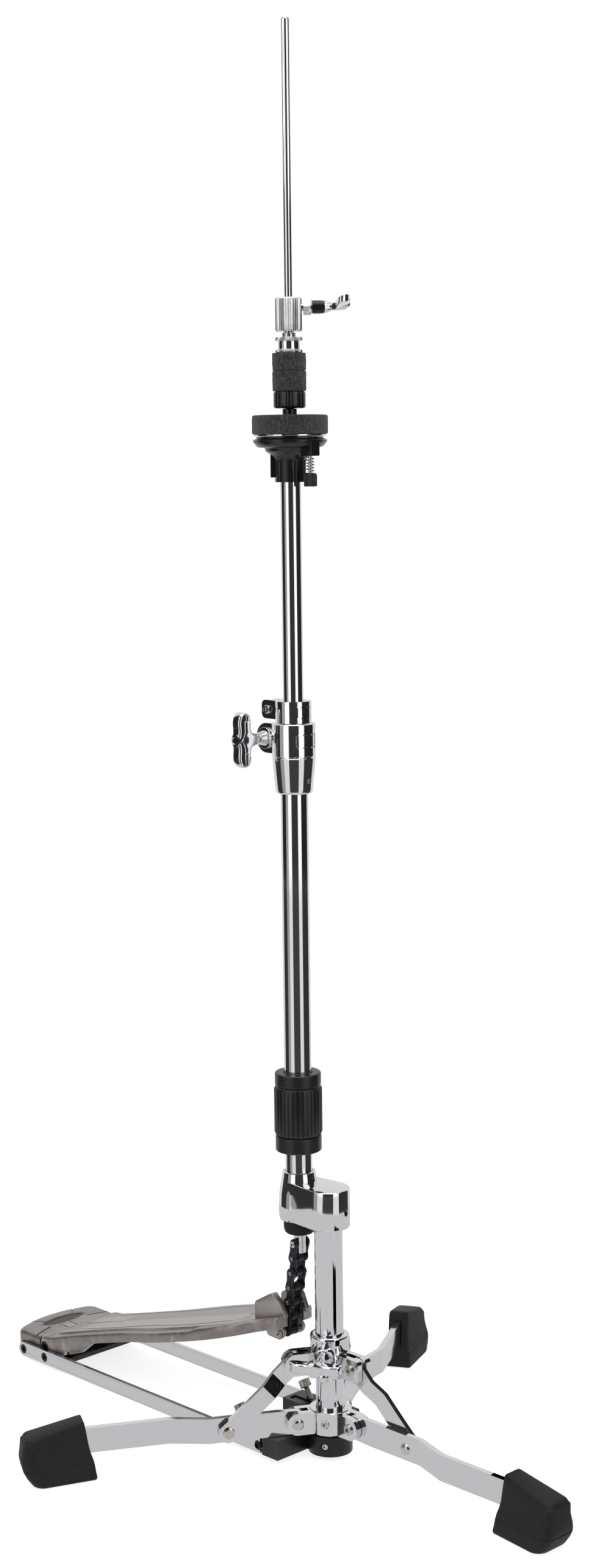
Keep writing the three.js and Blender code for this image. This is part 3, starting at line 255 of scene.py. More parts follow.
def loft(sections):
    """Solid through a row of loops that have the same number of points."""
    bm = bmesh.new()
    rows = [[bm.verts.new(p) for p in s] for s in sections]
    n = len(rows[0])
    for a, b in zip(rows, rows[1:]):
        for i in range(n):
            j = (i + 1) % n
            bm.faces.new((a[i], a[j], b[j], b[i]))
    bm.faces.new(list(reversed(rows[0])))
    bm.faces.new(rows[-1])
    bm.normal_update()
    bmesh.ops.recalc_face_normals(bm, faces=bm.faces)
    return bm


def slab(outline, z0, z1):
    return loft([[(x, y, z0) for x, y in outline], [(x, y, z1) for x, y in outline]])


def block(x0, x1, y0, y1, z0, z1):
    return slab([(x0, y0), (x1, y0), (x1, y1), (x0, y1)], z0, z1)


def arc(cx, cy, r, a0, a1, n=12):
    return [
        (
            cx + r * math.cos(math.radians(a0 + (a1 - a0) * i / n)),
            cy + r * math.sin(math.radians(a0 + (a1 - a0) * i / n))
        )
        for i in range(n + 1)
    ]


def round_outline(cx, cy, rx, ry=None, n=24):
    ry = rx if ry is None else ry
    return [
        (cx + rx * math.cos(2 * math.pi * k / n), cy + ry * math.sin(2 * math.pi * k / n)) for k in range(n)
    ]


def link(a, b, ra, rb=None, n=14):
    """Outline round two circles at a and b."""
    rb = ra if rb is None else rb
    dx, dy = b[0] - a[0], b[1] - a[1]
    d = math.hypot(dx, dy)
    base = math.degrees(math.atan2(dy, dx))
    t = math.degrees(math.acos((ra - rb) / d))
    return arc(*b, rb, base - t, base + t, n) + arc(*a, ra, base + t, base + 360 - t, n)


def bezier(p0, p1, p2, p3, n=8):
    out = []
    for i in range(1, n + 1):
        t = i / n
        u = 1 - t
        out.append(
            tuple(
                u ** 3 * p0[k] + 3 * u * u * t * p1[k] + 3 * u * t * t * p2[k] + t ** 3 * p3[k]
                for k in (0, 1)
            )
        )
    return out


def curve_through(points, y):
    """Smooth value at y through rows of (y, value)."""
    for i in range(len(points) - 1):
        if y <= points[i + 1][0] or i == len(points) - 2:
            break
    (y1, v1), (y2, v2) = points[i], points[i + 1]
    y0, v0 = points[max(0, i - 1)]
    y3, v3 = points[min(len(points) - 1, i + 2)]
    m1 = (v2 - v0) / (y2 - y0) if y2 != y0 else 0
    m2 = (v3 - v1) / (y3 - y1) if y3 != y1 else 0
    h = y2 - y1
    t = min(1, max(0, (y - y1) / h))
    return (
        (2 * t ** 3 - 3 * t * t + 1) * v1 + (t ** 3 - 2 * t * t + t) * h * m1
        + (3 * t * t - 2 * t ** 3) * v2 + (t ** 3 - t * t) * h * m2
    )


def aim(direction, origin):
    """Matrix that turns local +Z to a direction and moves it to origin."""
    return Matrix.Translation(origin) @ Vector(direction).to_track_quat("Z", "Y").to_matrix().to_4x4()


def heading(azimuth, tilt=0):
    """Unit vector from two angles in degrees."""
    a, e = math.radians(azimuth), math.radians(tilt)
    return Vector((math.cos(a) * math.cos(e), math.sin(a) * math.cos(e), math.sin(e)))


def moved(bm, matrix):
    bm.transform(matrix)
    return bm


def side_on(bm):
    """Turns an outline drawn as (y, z) and pulled along z into one pulled along x."""
    return moved(bm, Matrix(((0, 0, 1, 0), (1, 0, 0, 0), (0, 1, 0, 0), (0, 0, 0, 1))))


def leg_on(bm):
    """Turns an outline drawn as (r, z) and pulled along z into one pulled along t."""
    return moved(bm, Matrix(((1, 0, 0, 0), (0, 0, 1, 0), (0, 1, 0, 0), (0, 0, 0, 1))))


def round_off(bm, width, segments=3, angle=30):
    """Rounds every edge sharper than an angle."""
    edges = [e for e in bm.edges if len(e.link_faces) == 2 and e.calc_face_angle(0) > math.radians(angle)]
    bmesh.ops.bevel(
        bm, geom=edges, offset=width, segments=segments, profile=0.5, affect="EDGES", clamp_overlap=True
    )
    return bm


def combine(base, *steps):
    """Boolean steps on a mesh: ("+", other), ("-", other) or ("*", other)."""
    def temp(bm):
        bm.normal_update()
        bmesh.ops.recalc_face_normals(bm, faces=bm.faces)
        me = bpy.data.meshes.new("temp")
        bm.to_mesh(me)
        bm.free()
        ob = bpy.data.objects.new("temp", me)
        bpy.context.scene.collection.objects.link(ob)
        return ob

    ob = temp(base)
    for sign, other in steps:
        tool = temp(other)
        mod = ob.modifiers.new("cut", "BOOLEAN")
        mod.solver = "EXACT"
        mod.operation = {"+": "UNION", "-": "DIFFERENCE", "*": "INTERSECT"}[sign]
        mod.object = tool
        me = bpy.data.meshes.new_from_object(ob.evaluated_get(bpy.context.evaluated_depsgraph_get()))
        ob.modifiers.clear()
        ob.data = me
        bpy.data.objects.remove(tool)
        bm = bmesh.new()
        bm.from_mesh(me)
        bmesh.ops.triangulate(bm, faces=[f for f in bm.faces if len(f.verts) > 4])
        me = bpy.data.meshes.new("temp")
        bm.to_mesh(me)
        bm.free()
        ob.data = me
    bm = bmesh.new()
    bm.from_mesh(ob.data)
    bpy.data.objects.remove(ob)
    bmesh.ops.remove_doubles(bm, verts=bm.verts, dist=0.004)
    return bm


def merge(*parts):
    """One mesh from closed shells that don't touch each other, with its face normals up to date."""
    out = bmesh.new()
    for p in parts:
        me = bpy.data.meshes.new("temp")
        p.to_mesh(me)
        p.free()
        out.from_mesh(me)
        bpy.data.meshes.remove(me)
    return out


def bar_along(direction, at, radius, start, end, seg=64):
    """Round bar between two distances along a direction."""
    return moved(disc(radius, start, end, seg), aim(direction, at))


def piece(name, bm, material, body, swaps=(), bevel=0.0, steps=2, angle=32, where=None):
    """Makes a mesh into a named piece of the object that rides on a body."""
    if where is not None:
        bm.transform(where)
    bm.transform(IN_FRAME)
    bm.normal_update()
    bmesh.ops.recalc_face_normals(bm, faces=bm.faces)
    me = bpy.data.meshes.new(name)
    bm.to_mesh(me)
    bm.free()
    me.shade_smooth()
    ob = bpy.data.objects.new(name, me)
    bpy.context.scene.collection.objects.link(ob)
    me.materials.append(material)
    if bevel:
        mod = ob.modifiers.new("edges", "BEVEL")
        mod.width = bevel * MM
        mod.segments = steps
        mod.limit_method = "ANGLE"
        mod.angle_limit = math.radians(angle)
        mod.harden_normals = True
        mod.use_clamp_overlap = True
    me.set_sharp_from_angle(angle=math.radians(angle + 4))
    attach(ob, body)
    if swaps:
        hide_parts(*swaps)
    return ob


def teeth(count, depth, rows):
    """Vertical ribs on the outline points whose index is in rows."""
    def wave(i, r, a):
        if i not in rows:
            return r
        f = (a * count / (2 * math.pi)) % 1
        return r - depth * (0.5 - 0.5 * math.cos(2 * math.pi * f)) ** 1.5
    return wave


def socket_screw(radius, height, key, deep=1.8, foot=1.0):
    """Screw head with a hexagon socket; foot is how far it goes below z = 0."""
    hexagon = {4, 5}

    def wave(i, r, a):
        if i not in hexagon:
            return r
        return r / math.cos((a % (math.pi / 3)) - math.pi / 6)
    return turn([
        (0, -foot), (radius, -foot), (radius, height - 0.7), (radius - 0.7, height), (key, height),
        (key, height - deep), (0, height - deep)
    ], 48, wave)


def dome(radius, height, foot=1.0):
    """Round rivet head on a short foot."""
    outline = (
        [(0, -foot), (radius * 0.96, -foot), (radius, 0.2)]
        + [(radius * math.cos(a), 0.2 + (height - 0.2) * math.sin(a)) for a in (0.25, 0.5, 0.75, 1.0, 1.25)]
        + [(0, height)]
    )
    return turn(outline, 40)


def butterfly(x0, x1, spread, neck, shank, tail, thick=7.4, open_end=False, web=11, lobe=4.8, swell=1.4):
    """Wing bolt along +x with its wings in the x, y plane."""
    half = spread / 2
    s = [(x1 - web, neck * 0.4)]
    s += bezier(s[-1], (x1 - web * 0.62, neck * 0.55), (x1 - lobe, half - 17), (x1 - lobe, half - 10.5))
    s += bezier(s[-1], (x1 - lobe - 0.8, half - 7), (x1 - lobe - 0.6, half - 0.6), (x1 - 2, half))
    s += bezier(s[-1], (x1 + 4, half), (x1 + 5.2, half - 6.5), (x1 + 4.3, half - 12))
    s += bezier(s[-1], (x1 + 3.8, half - 16), (x1 + 4.8, 5), (x1 + 4.9, 0))
    outline = s + [(x, -y) for x, y in reversed(s[:-1])]
    wings = round_off(slab(outline, -thick / 2, thick / 2), min(2.4, thick * 0.36), 4)
    stem = turn(
        [
            (0, x0), (neck / 2 + 1.2, x0), (neck / 2 + 0.9, x0 + 1.2), (neck / 2 - 0.6, x0 + 5),
            (neck / 2 - 0.4, x1 - 7), (neck / 2 + swell, x1 + 1), (neck / 2 + swell * 0.4, x1 + 4.9)
        ]
        + (
            [(3.1, x1 + 5.3), (3.1, x1 + 2.6), (0, x1 + 2.6)]
            if open_end
            else [(neck / 2 - 1.0, x1 + 5.3), (0, x1 + 5.5)]
        ),
        56
    )
    rod = disc(shank, tail, x0 + 1, 32)
    turned = aim((1, 0, 0), (0, 0, 0))
    return combine(wings, ("+", moved(stem, turned)), ("+", moved(rod, turned)))


def leg_frame(az):
    """Frame on the column's axis at floor level with x along a leg."""
    return Matrix.Translation((0, COLUMN_Y, 0)) @ Matrix.Rotation(math.radians(az), 4, "Z")


# ------------------------------------------------------------------ pull rod, clutch and seat
rod_low, rod_top = span("pull_rod")
ROD_RADIUS = 3.15
piece(
    "rod",
    turn([
        (0, rod_low), (ROD_RADIUS, rod_low), (ROD_RADIUS, rod_top - 2.4), (ROD_RADIUS - 0.5, rod_top - 1.2),
        (ROD_RADIUS - 1.6, rod_top - 0.3), (0, rod_top)
    ], 40),
    CHROME, "rod", ["pull_rod"]
)

z0, z1 = span("clutch_body")
piece(
    "clutch_barrel",
    turn([
        (3.6, z0), (9.2, z0), (10.2, z0 + 1), (10.2, z1 - 1), (9.2, z1), (4.6, z1), (3.6, z1 - 1)
    ], 240, teeth(40, 0.55, {2, 3})),
    SATIN, "clutch", ["clutch_body"]
)
AZ_CLUTCH = 135.8
zb = middle("clutch_wing_bolt").z / MM
AT_CLUTCH = Matrix.Translation((0, 0, zb)) @ Matrix.Rotation(math.radians(AZ_CLUTCH), 4, "Z")
wing = butterfly(27.5, 41.4, 36, 7.2, 2.9, 4.8, 5.0, web=9)
for v in wing.verts:
    lift = max(0.0, v.co.x - 30)
    v.co.z += 0.016 * lift * lift + 0.010 * v.co.y * v.co.y * min(1, lift / 8)
piece("clutch_wing", wing, CHROME, "clutch_bolt", ["clutch_wing_bolt"], where=AT_CLUTCH)
piece(
    "clutch_wing_collar",
    turn(
        [(3.2, 11.2), (6.4, 11.2), (6.4, 16.4), (5.6, 17.4), (3.2, 17.4)], 6 * 12,
        lambda i, r, a: r / math.cos((a % (math.pi / 3)) - math.pi / 6) * 0.93 if i in (1, 2) else r
    ),
    SATIN, "clutch_bolt", bevel=0.3, where=aim(heading(AZ_CLUTCH), (0, 0, zb))
)
piece(
    "clutch_wing_sleeve", turn([(3.3, 17.7), (5.0, 17.7), (5.0, 24), (4.6, 27.2), (3.3, 27.4)], 56),
    BLACK_METAL, "clutch_bolt", bevel=0.5, where=aim(heading(AZ_CLUTCH), (0, 0, zb))
)

s0, s1 = span("clutch_stem")
thread = [(3.6, s0), (5.2, s0)]
z = s0 + 0.8
while z < s1 - 1.2:
    thread += [(5.15, z), (5.65, z + 0.5)]
    z += 1.0
thread += [(5.2, s1), (3.6, s1)]
piece("clutch_thread", turn(thread, 64), SATIN, "clutch", ["clutch_stem"])
z0, z1 = span("clutch_spool_nut")
piece(
    "clutch_spool",
    turn([
        (6.0, z0), (9.8, z0), (10.2, z0 + 0.4), (10.2, z0 + 1.9), (9.6, z0 + 2.3), (8.3, z0 + 2.7),
        (8.3, z1 - 3.2), (9.6, z1 - 2.8), (10.2, z1 - 2.4), (10.2, z1 - 0.5), (9.8, z1), (6.0, z1)
    ], 240, teeth(48, 0.5, {2, 3, 8, 9})),
    CHROME, "clutch", ["clutch_spool_nut"]
)


def felt_ring(name, node, bore, radius, body, seg, corner):
    """Felt washer in place of a CAD node, with soft corners and a slightly uneven surface."""
    z0, z1 = span(node)
    rows = [(bore, z0 + 0.4), (bore + 0.5, z0)]
    steps = 8
    rows += [(bore + (radius - corner - bore) * i / steps, z0) for i in range(1, steps + 1)]
    rows += [
        (radius - corner + corner * math.sin(a), z0 + corner - corner * math.cos(a))
        for a in (0.4, 0.8, 1.2)
    ]
    rows += [(radius, z0 + corner + (z1 - z0 - 2 * corner) * i / 10) for i in range(11)]
    rows += [
        (radius - corner + corner * math.cos(a), z1 - corner + corner * math.sin(a))
        for a in (0.4, 0.8, 1.2)
    ]
    rows += [(radius - corner - (radius - corner - bore) * i / steps, z1) for i in range(steps)]
    rows += [(bore + 0.5, z1), (bore, z1 - 0.4)]
    bm = turn(rows, seg)
    for v in bm.verts:
        r = math.hypot(v.co.x, v.co.y)
        if r < bore + 1:
            continue
        n = noise.noise(v.co * 0.22) * 0.28 + noise.noise(v.co * 1.1) * 0.16 - 0.12
        out = Vector((v.co.x / r, v.co.y / r, 0)) if r > radius - corner else Vector((0, 0, 0))
        v.co += out * n
        if z0 + 0.3 < v.co.z < z1 - 0.01 or r > radius - corner:
            v.co.z += noise.noise(v.co * 0.8 + Vector((5, 0, 0))) * 0.12 * (1 if v.co.z < z1 - 1 else -1)
        v.co.z = min(z1, max(z0, v.co.z))
    ob = piece(name, bm, FELT, body, [node])
    return ob


felt_ring("upper_clutch_felt", "clutch_felt_upper", 6.1, 12.9, "clutch", 150, 0.8)
felt_ring("lower_clutch_felt", "clutch_felt_lower", 6.1, 12.9, "clutch", 150, 0.8)
felt_ring("seat_pad_felt", "seat_felt", 7.0, 28.9, "seat_pad", 260, 1.4)


def flutes(count, depth, width, rows):
    """Hollow flutes on the outline points whose index is in rows."""
    def wave(i, r, a):
        if i not in rows:
            return r
        f = ((a * count / (2 * math.pi)) + 0.5) % 1 - 0.5
        s = max(0, 1 - (f / width) ** 2)
        return r - depth * math.sqrt(s)
    return wave


z0, z1 = span("clutch_bottom_nut")
piece(
    "clutch_nut",
    turn([
        (6.1, z0), (10.6, z0), (11.9, z0 + 0.5), (12.4, z0 + 1.6), (12.4, z1 - 1.4), (12.0, z1 - 0.4),
        (11.0, z1), (6.1, z1)
    ], 256, flutes(8, 1.5, 0.24, {2, 3, 4, 5})),
    PLASTIC, "clutch_nut", ["clutch_bottom_nut"]
)
z0, z1 = span("seat_washer")
piece(
    "seat_disc", ring(7.0, 27.7, z0, z1, 128), CHROME, "seat_pad", ["seat_washer"], bevel=0.35,
)

TILTER_AT = (0, 21.5)
c0, c1 = span("seat_cup")
cup_top = c0 + 34.1
cup = turn([
    (3.9, 778.7), (8.3, 778.7), (8.3, c0), (11.4, c0), (11.8, c0 + 0.8), (11.8, 777.6), (12.6, 779.4),
    (13.8, 781.4), (15.8, 783.4), (18.2, 784.9), (18.9, 785.6), (19.2, 787.2), (20.0, 787.9), (24.2, 788.2),
    (25.4, 789.0), (28.2, 792.4), (28.2, 793.4), (27.2, 794.4), (25.8, 794.8), (25.4, cup_top),
    (5.5, cup_top), (5.5, c1 - 0.5), (5.0, c1), (3.9, c1)
], 240, flutes(6, 1.5, 0.2, {3, 4, 5}))
fins = [
    ("+", moved(block(10.6, 15.2, -1.2, 1.2, 765.6, 786), Matrix.Rotation(math.radians(a), 4, "Z")))
    for a in (320, 200)
]
tilt = [
    ("+", round_off(block(-4.8, 4.8, 15.8, 27.3, 781.4, 795.2), 0.8)),
    ("-", disc(2.0, 770, 797, 24, at=TILTER_AT))
]
piece(
    "seat_cup_body", combine(cup, *fins, *tilt), PLASTIC, "upper", ["seat_cup"], bevel=0.35, angle=40,
)
z0, z1 = span("tilter_screw")
knob = turn([
    (0, z0), (4.5, z0), (5.1, z0 + 0.7), (5.1, z0 + 8.6), (4.5, z0 + 9.6), (3.2, z0 + 10.3), (0, z0 + 10.3)
], 180, teeth(14, 0.7, {2, 3}), at=TILTER_AT)
piece("tilter_knob", knob, PLASTIC_MATTE, "tilter", ["tilter_screw"])
piece("tilter_rod", disc(1.5, z0 + 10.35, z1, 24, at=TILTER_AT), NICKEL, "tilter")


def wound(radius, wire, z0, z1, turns, at, per=28, sides=10):
    """Coil of round wire between two heights."""
    rows = []
    n = int(turns * per)
    for i in range(n + 1):
        a = 2 * math.pi * i / per
        c = Vector((
            at[0] + radius * math.cos(a), at[1] + radius * math.sin(a),
            z0 + wire / 2 + (z1 - z0 - wire) * i / n
        ))
        out = Vector((math.cos(a), math.sin(a), 0))
        rows.append([
            c + out * (wire / 2 * math.cos(b)) + Vector((0, 0, wire / 2 * math.sin(b)))
            for b in [2 * math.pi * k / sides for k in range(sides)]
        ])
    return loft(rows)


z0, z1 = span("tilter_spring")
piece(
    "tilter_coil", wound(2.9, 0.8, z0, z1, 5, TILTER_AT), NICKEL, "upper", ["tilter_spring"],
)

# ------------------------------------------------------------------ tubes, lock and clamp
z0, z1 = span("upper_tube")
piece("upper_pipe", ring(6.3, 7.95, z0, z1, 96), CHROME, "upper", ["upper_tube"])
z0, z1 = span("lower_tube")
piece("lower_pipe", ring(9.4, 10.75, z0, z1, 96), CHROME, "base", ["lower_tube"])

HINGE = 85  # azimuth of the hinges of the lock and the clamp; their bolts are on the far side
LOCK_BOLT, CLAMP_BOLT = (20.6, 588), (23, 565.6)  # distance from the axis, and height
CLAMP_SCREW = heading(96), (0, 0, 534)
EAR = Matrix.Rotation(math.radians(HINGE + 180), 4, "Z")
FRONT = Matrix.Rotation(math.radians(HINGE), 4, "Z")


def eared(shell, bolt, r, thick, slit, corner, bore, extra=()):
    """Ring with two ears, slit between them and bored for a bolt; corner is None for round ears."""
    out, z = bolt
    plate = (
        link((9, z), (out, z), r, r)
        if corner is None
        else [(9, z - r), (out + r - corner, z - r)]
        + arc(out + r - corner, z - r + corner, corner, -90, 0, 6)
        + arc(out + r - corner, z + r - corner, corner, 0, 90, 6) + [(9, z + r)]
    )
    ears = moved(leg_on(slab(plate, -7, thick)), EAR)
    return combine(
        shell, ("+", ears), ("-", moved(block(6, 50, -0.9, 0.9, slit[0], slit[1]), EAR)),
        ("-", moved(leg_on(slab(round_outline(out, z, bore), -20, 20)), EAR)), *extra
    )


def knuckle(radius, z0, z1, depth=1.1, half=6.4):
    """Recess round the hinge with its tongue left standing."""
    return combine(
        ring(radius - depth, radius + 3, z0, z1, 96),
        ("*", moved(block(3, radius + 9, -half, half, z0 - 3, z1 + 3), FRONT))
    )


z0, z1 = span("memory_lock")
LOCK = eared(ring(UPPER_HOLE, 14, z0, z1, 96), LOCK_BOLT, 7.2, 9, (z0 - 1, z1 + 1), 4.2, 2.7,
             [("-", knuckle(14, 582.5, 591.5, 1.2, 6.6)), ("-", disc(UPPER_HOLE, z0 - 5, z1 + 5, 72))])
piece("lock_ring", LOCK, CHROME, "upper", ["memory_lock"], bevel=0.55, angle=36)
piece(
    "lock_hinge_tongue",
    combine(ring(12.0, 14.0, 583.2, 590.8, 128), ("*", moved(block(5, 20, -5.8, 5.8, 580, 595), FRONT))),
    CHROME, "upper", bevel=0.6, angle=40
)
bolt_dir = heading(HINGE + 270)
lock_at = heading(HINGE + 180) * LOCK_BOLT[0] + Vector((0, 0, LOCK_BOLT[1]))
piece(
    "lock_key_bolt",
    combine(
        disc(2.3, -8, 10, 32), ("+", turn([(0, 9.3), (3.4, 9.3), (3.4, 10.0), (2.8, 10.5), (0, 10.5)], 40)),
        ("+", round_off(block(-1.7, 1.7, -1.7, 1.7, 10.2, 12.4), 0.3, 2))
    ),
    NICKEL, "lock_bolt", ["memory_lock_bolt"], where=aim(bolt_dir, lock_at)
)

k0, k1 = span("height_clamp")
SEAM = 552.6
shell = turn([
    (LOWER_HOLE, k0), (13.6, k0), (14.4, k0 + 0.9), (14.6, k0 + 3), (16.5, SEAM - 6), (16.8, SEAM - 0.9),
    (16.5, SEAM - 0.5), (15.8, SEAM - 0.4), (15.8, SEAM + 0.15), (16.6, SEAM + 0.25), (16.9, SEAM + 0.6),
    (16.9, k1 - 0.6), (16.3, k1), (UPPER_HOLE, k1), (UPPER_HOLE, 549.3), (LOWER_HOLE, 549.3)
], 128)
CLAMP = eared(
    shell, CLAMP_BOLT, 11.6, 9, (SEAM, k1 + 1), None, 3.6,
    [
        ("-", knuckle(16.9, 559.8, 570.6, 1.4, 9.3)), ("-", disc(UPPER_HOLE, 540, 600, 72)),
        ("-", disc(LOWER_HOLE, 500, 549.3, 72)), ("-", bar_along(*CLAMP_SCREW, 2.5, 12, 22, 32))
    ]
)
piece("clamp_body", CLAMP, CHROME, "base", ["height_clamp"], bevel=0.5, angle=38)
piece(
    "clamp_hinge_tongue",
    combine(ring(15.0, 16.9, 560.6, 569.8, 128), ("*", moved(block(5, 20, -8.4, 8.4, 550, 580), FRONT))),
    CHROME, "base", bevel=0.6, angle=40
)
piece(
    "clamp_screw", socket_screw(2.3, 14.9, 1.1, 1.5, -11.6), NICKEL, "base", where=aim(*CLAMP_SCREW),
    bevel=0.15
)
clamp_at = heading(HINGE + 180) * CLAMP_BOLT[0] + Vector((0, 0, CLAMP_BOLT[1]))
piece(
    "height_wing",
    moved(
        moved(
            butterfly(11.2, 34.3, 43, 10.0, 3.1, -8, thick=9.8, open_end=True, web=15, lobe=7.6, swell=0.1),
            Matrix.Rotation(math.radians(90), 4, "X")
        ),
        Matrix.Translation(clamp_at) @ Matrix.Rotation(math.radians(HINGE + 270), 4, "Z")
    ),
    CHROME, "height_bolt", ["height_wing_bolt"]
)
piece(
    "height_wing_washer", ring(3.3, 8.4, 9.3, 10.9), CHROME, "height_bolt", bevel=0.4,
    where=aim(bolt_dir, clamp_at)
)

# ------------------------------------------------------------------ tension adjuster
for name, node in (
    ("adjuster_upper_ring", "adjuster_top_ring"), ("adjuster_lower_ring", "adjuster_bottom_ring")
):
    z0, z1 = span(node)
    piece(
        name, ring(LOWER_HOLE, 18.2, z0, z1, 128), PLASTIC_MATTE, "base", [node], bevel=1.3, steps=4,
    )
z0, z1 = span("tension_barrel")


def ribs(i, r, a):
    """Square ribs of the barrel, lower on its sloping ends."""
    if i not in (2, 3, 4, 5):
        return r
    f = (a * 32 / (2 * math.pi)) % 1
    return r - (1.0 if i in (3, 4) else 0.4) * max(0, min(1, (abs(f - 0.5) - 0.2) / 0.1))


piece(
    "adjuster_barrel",
    turn([
        (LOWER_HOLE, z0), (17.0, z0), (18.0, z0 + 0.8), (19.0, z0 + 2.8), (19.0, z1 - 2.8),
        (18.0, z1 - 0.8), (17.0, z1), (LOWER_HOLE, z1)
    ], 384, ribs),
    PLASTIC_MATTE, "barrel", ["tension_barrel"]
)

# ------------------------------------------------------------------ bracket, bumper and column
b0, b1 = span("offset_bracket")
BRACKET_SCREW = heading(100), (0, COLUMN_Y, 198)
LOBE_TOP = 216.6
cone = turn([
    (LOWER_HOLE, b0), (15.6, b0), (16.3, b0 + 2.6), (16.3, b0 + 12), (15.7, b0 + 22), (14.2, b0 + 31),
    (13.0, b1 - 0.5), (12.4, b1), (LOWER_HOLE, b1)
], 128)
web = slab(link((0, 0), (0, COLUMN_Y), 14.2, 17.2, 40), b0, LOBE_TOP)
web = round_off(web, 1.3, 3)
BRACKET = combine(
    web, ("+", cone), ("-", disc(LOWER_HOLE, 197.6, 240, 96)), ("-", disc(9.8, 170, 200, 96)),
    ("-", disc(COLUMN_HOLE, 170, 212.4, 96, at=(0, COLUMN_Y))),
    ("-", bar_along(*BRACKET_SCREW, 2.2, 12, 22, 28))
)
piece("bracket_casting", BRACKET, CHROME, "base", ["offset_bracket"], bevel=0.3, angle=40)
piece(
    "bracket_set_screw", socket_screw(2.0, 16.6, 1.0, 1.6, -12), BLACK_METAL, "base",
    where=aim(*BRACKET_SCREW)
)
z0, z1 = span("rod_bumper")
piece(
    "bumper",
    turn([
        (6.2, z0), (8.6, z0), (10.6, z0 + 0.8), (11.9, z0 + 2.2), (12.6, z0 + 4.8), (12.7, z0 + 7),
        (12.7, z1), (6.2, z1)
    ], 96),
    RUBBER, "base", ["rod_bumper"], bevel=0.3
)
z0, z1 = span("side_column")
piece(
    "column_pipe", ring(9.5, 11.1, z0, z1, 96, at=(0, COLUMN_Y)), CHROME, "base", ["side_column"],
)
z0, z1 = span("rod_connector")
pin_top = 164.5  # height of the chain's top pin
conn = combine(
    turn([(3.4, z0), (4.9, z0), (4.9, z1), (3.4, z1)], 64), ("+", disc(4.9, z0, 183, 64)),
    ("-", block(4.0, 12, -12, 12, 150, 172)), ("-", block(-12, -4.0, -12, 12, 150, 172)),
    ("-", side_on(slab(round_outline(0, pin_top, 2.1), -12, 12)))
)
piece("chain_connector", conn, BAR_CHROME, "rod", ["rod_connector"], bevel=0.3)

# ------------------------------------------------------------------ chain
TOE = (-12.0, 89.3)
PITCH = math.hypot(TOE[0], pin_top - TOE[1]) / 6
lean = math.atan2(TOE[0], pin_top - TOE[1])


def chain_pin(i):
    """Place (y, z) of a chain pin, counted from the top."""
    return (math.sin(lean) * PITCH * i, pin_top - math.cos(lean) * PITCH * i)


def figure_eight(i, r, waist):
    """Outline of one chain plate, round at both pins and narrower between them."""
    ax, az = chain_pin(i)
    bx, bz = chain_pin(i + 1)
    base = math.degrees(math.atan2(bz - az, bx - ax))
    mid = ((ax + bx) / 2, (az + bz) / 2)
    nx, nz = -math.sin(math.radians(base)), math.cos(math.radians(base))
    tx, tz = math.cos(math.radians(base)), math.sin(math.radians(base))
    pts = arc(bx, bz, r, base - 118, base + 118, 20)
    pts += [
        (mid[0] + nx * waist * k + tx * d, mid[1] + nz * waist * k + tz * d)
        for d, k in ((1.5, 1.04), (0, 1.0), (-1.5, 1.04))
    ]
    pts += arc(ax, az, r, base + 62, base + 298, 20)
    pts += [
        (mid[0] - nx * waist * k + tx * d, mid[1] - nz * waist * k + tz * d)
        for d, k in ((-1.5, 1.04), (0, 1.0), (1.5, 1.04))
    ]
    return pts


def along_x(bm, at):
    """Moves a part drawn along z to a place (y, z), pointing along x."""
    return moved(bm, aim((1, 0, 0), (0, at[0], at[1])))


for n in range(6):
    a, b = chain_pin(n), chain_pin(n + 1)
    outer = n % 2 == 0
    node = f"chain_{'outer' if outer else 'inner'}_link_{n // 2 + 1}"
    x0 = 5.5 if outer else 3.7
    x1 = x0 + 1.5
    r = 4.25 if outer else 4.05
    plates = [side_on(slab(figure_eight(n, r, 3.1), *s)) for s in ((x0, x1), (-x1, -x0))]
    plates = [round_off(p, 0.28, 2) for p in plates]
    if outer:
        piece(f"link_plates_{n + 1}", merge(*plates), CHAIN, "chain", [node])
        for k, at in enumerate((a, b)):
            if n == 0 and k == 0:
                piece(
                    "chain_top_screw",
                    along_x(
                        turn([
                            (0, -7.4), (1.8, -7.4), (1.8, 6.9), (2.7, 7.05), (2.7, 8.4), (2.2, 8.9),
                            (1.2, 8.9), (1.2, 7.6), (0, 7.6)
                        ], 36),
                        at
                    ),
                    NICKEL, "chain"
                )
            else:
                piece(
                    f"link_pin_{n + 1}_{k + 1}",
                    along_x(
                        turn([(0, -8.1), (1.3, -8.1), (1.8, -7.6), (1.8, 7.6), (1.3, 8.1), (0, 8.1)], 28),
                        at
                    ),
                    CHAIN_PIN, "chain"
                )
    else:
        bores = (1.95, 1.95 if n < 5 else 2.9)
        rollers = [
            along_x(turn([(bore, -3.5), (3.8, -3.5), (3.8, 3.5), (bore, 3.5)], 40), at)
            for at, bore in zip((a, b), bores)
        ]
        piece(f"link_plates_{n + 1}", merge(*plates), CHAIN, "chain", [node])
        piece(f"link_rollers_{n + 1}", merge(*rollers), CHAIN, "chain", bevel=0.25)


# ------------------------------------------------------------------ folding collar and hub
WING_Z = 85.5
PEG_Z = 69.4
COLLAR_PIN, COLLAR_HALF = (29, 77), 7.2  # brace pin's place along a leg and its height; half a fork's width
LEG_PIN, HUB_HALF = (28, 29), 8


def bolt_hole(r, x0, x1, z):
    """Tool that cuts a hole on the screws' side of the column."""
    return bar_along(heading(SCREW_SIDE), (0, COLUMN_Y, z), r, x0, x1, 32)


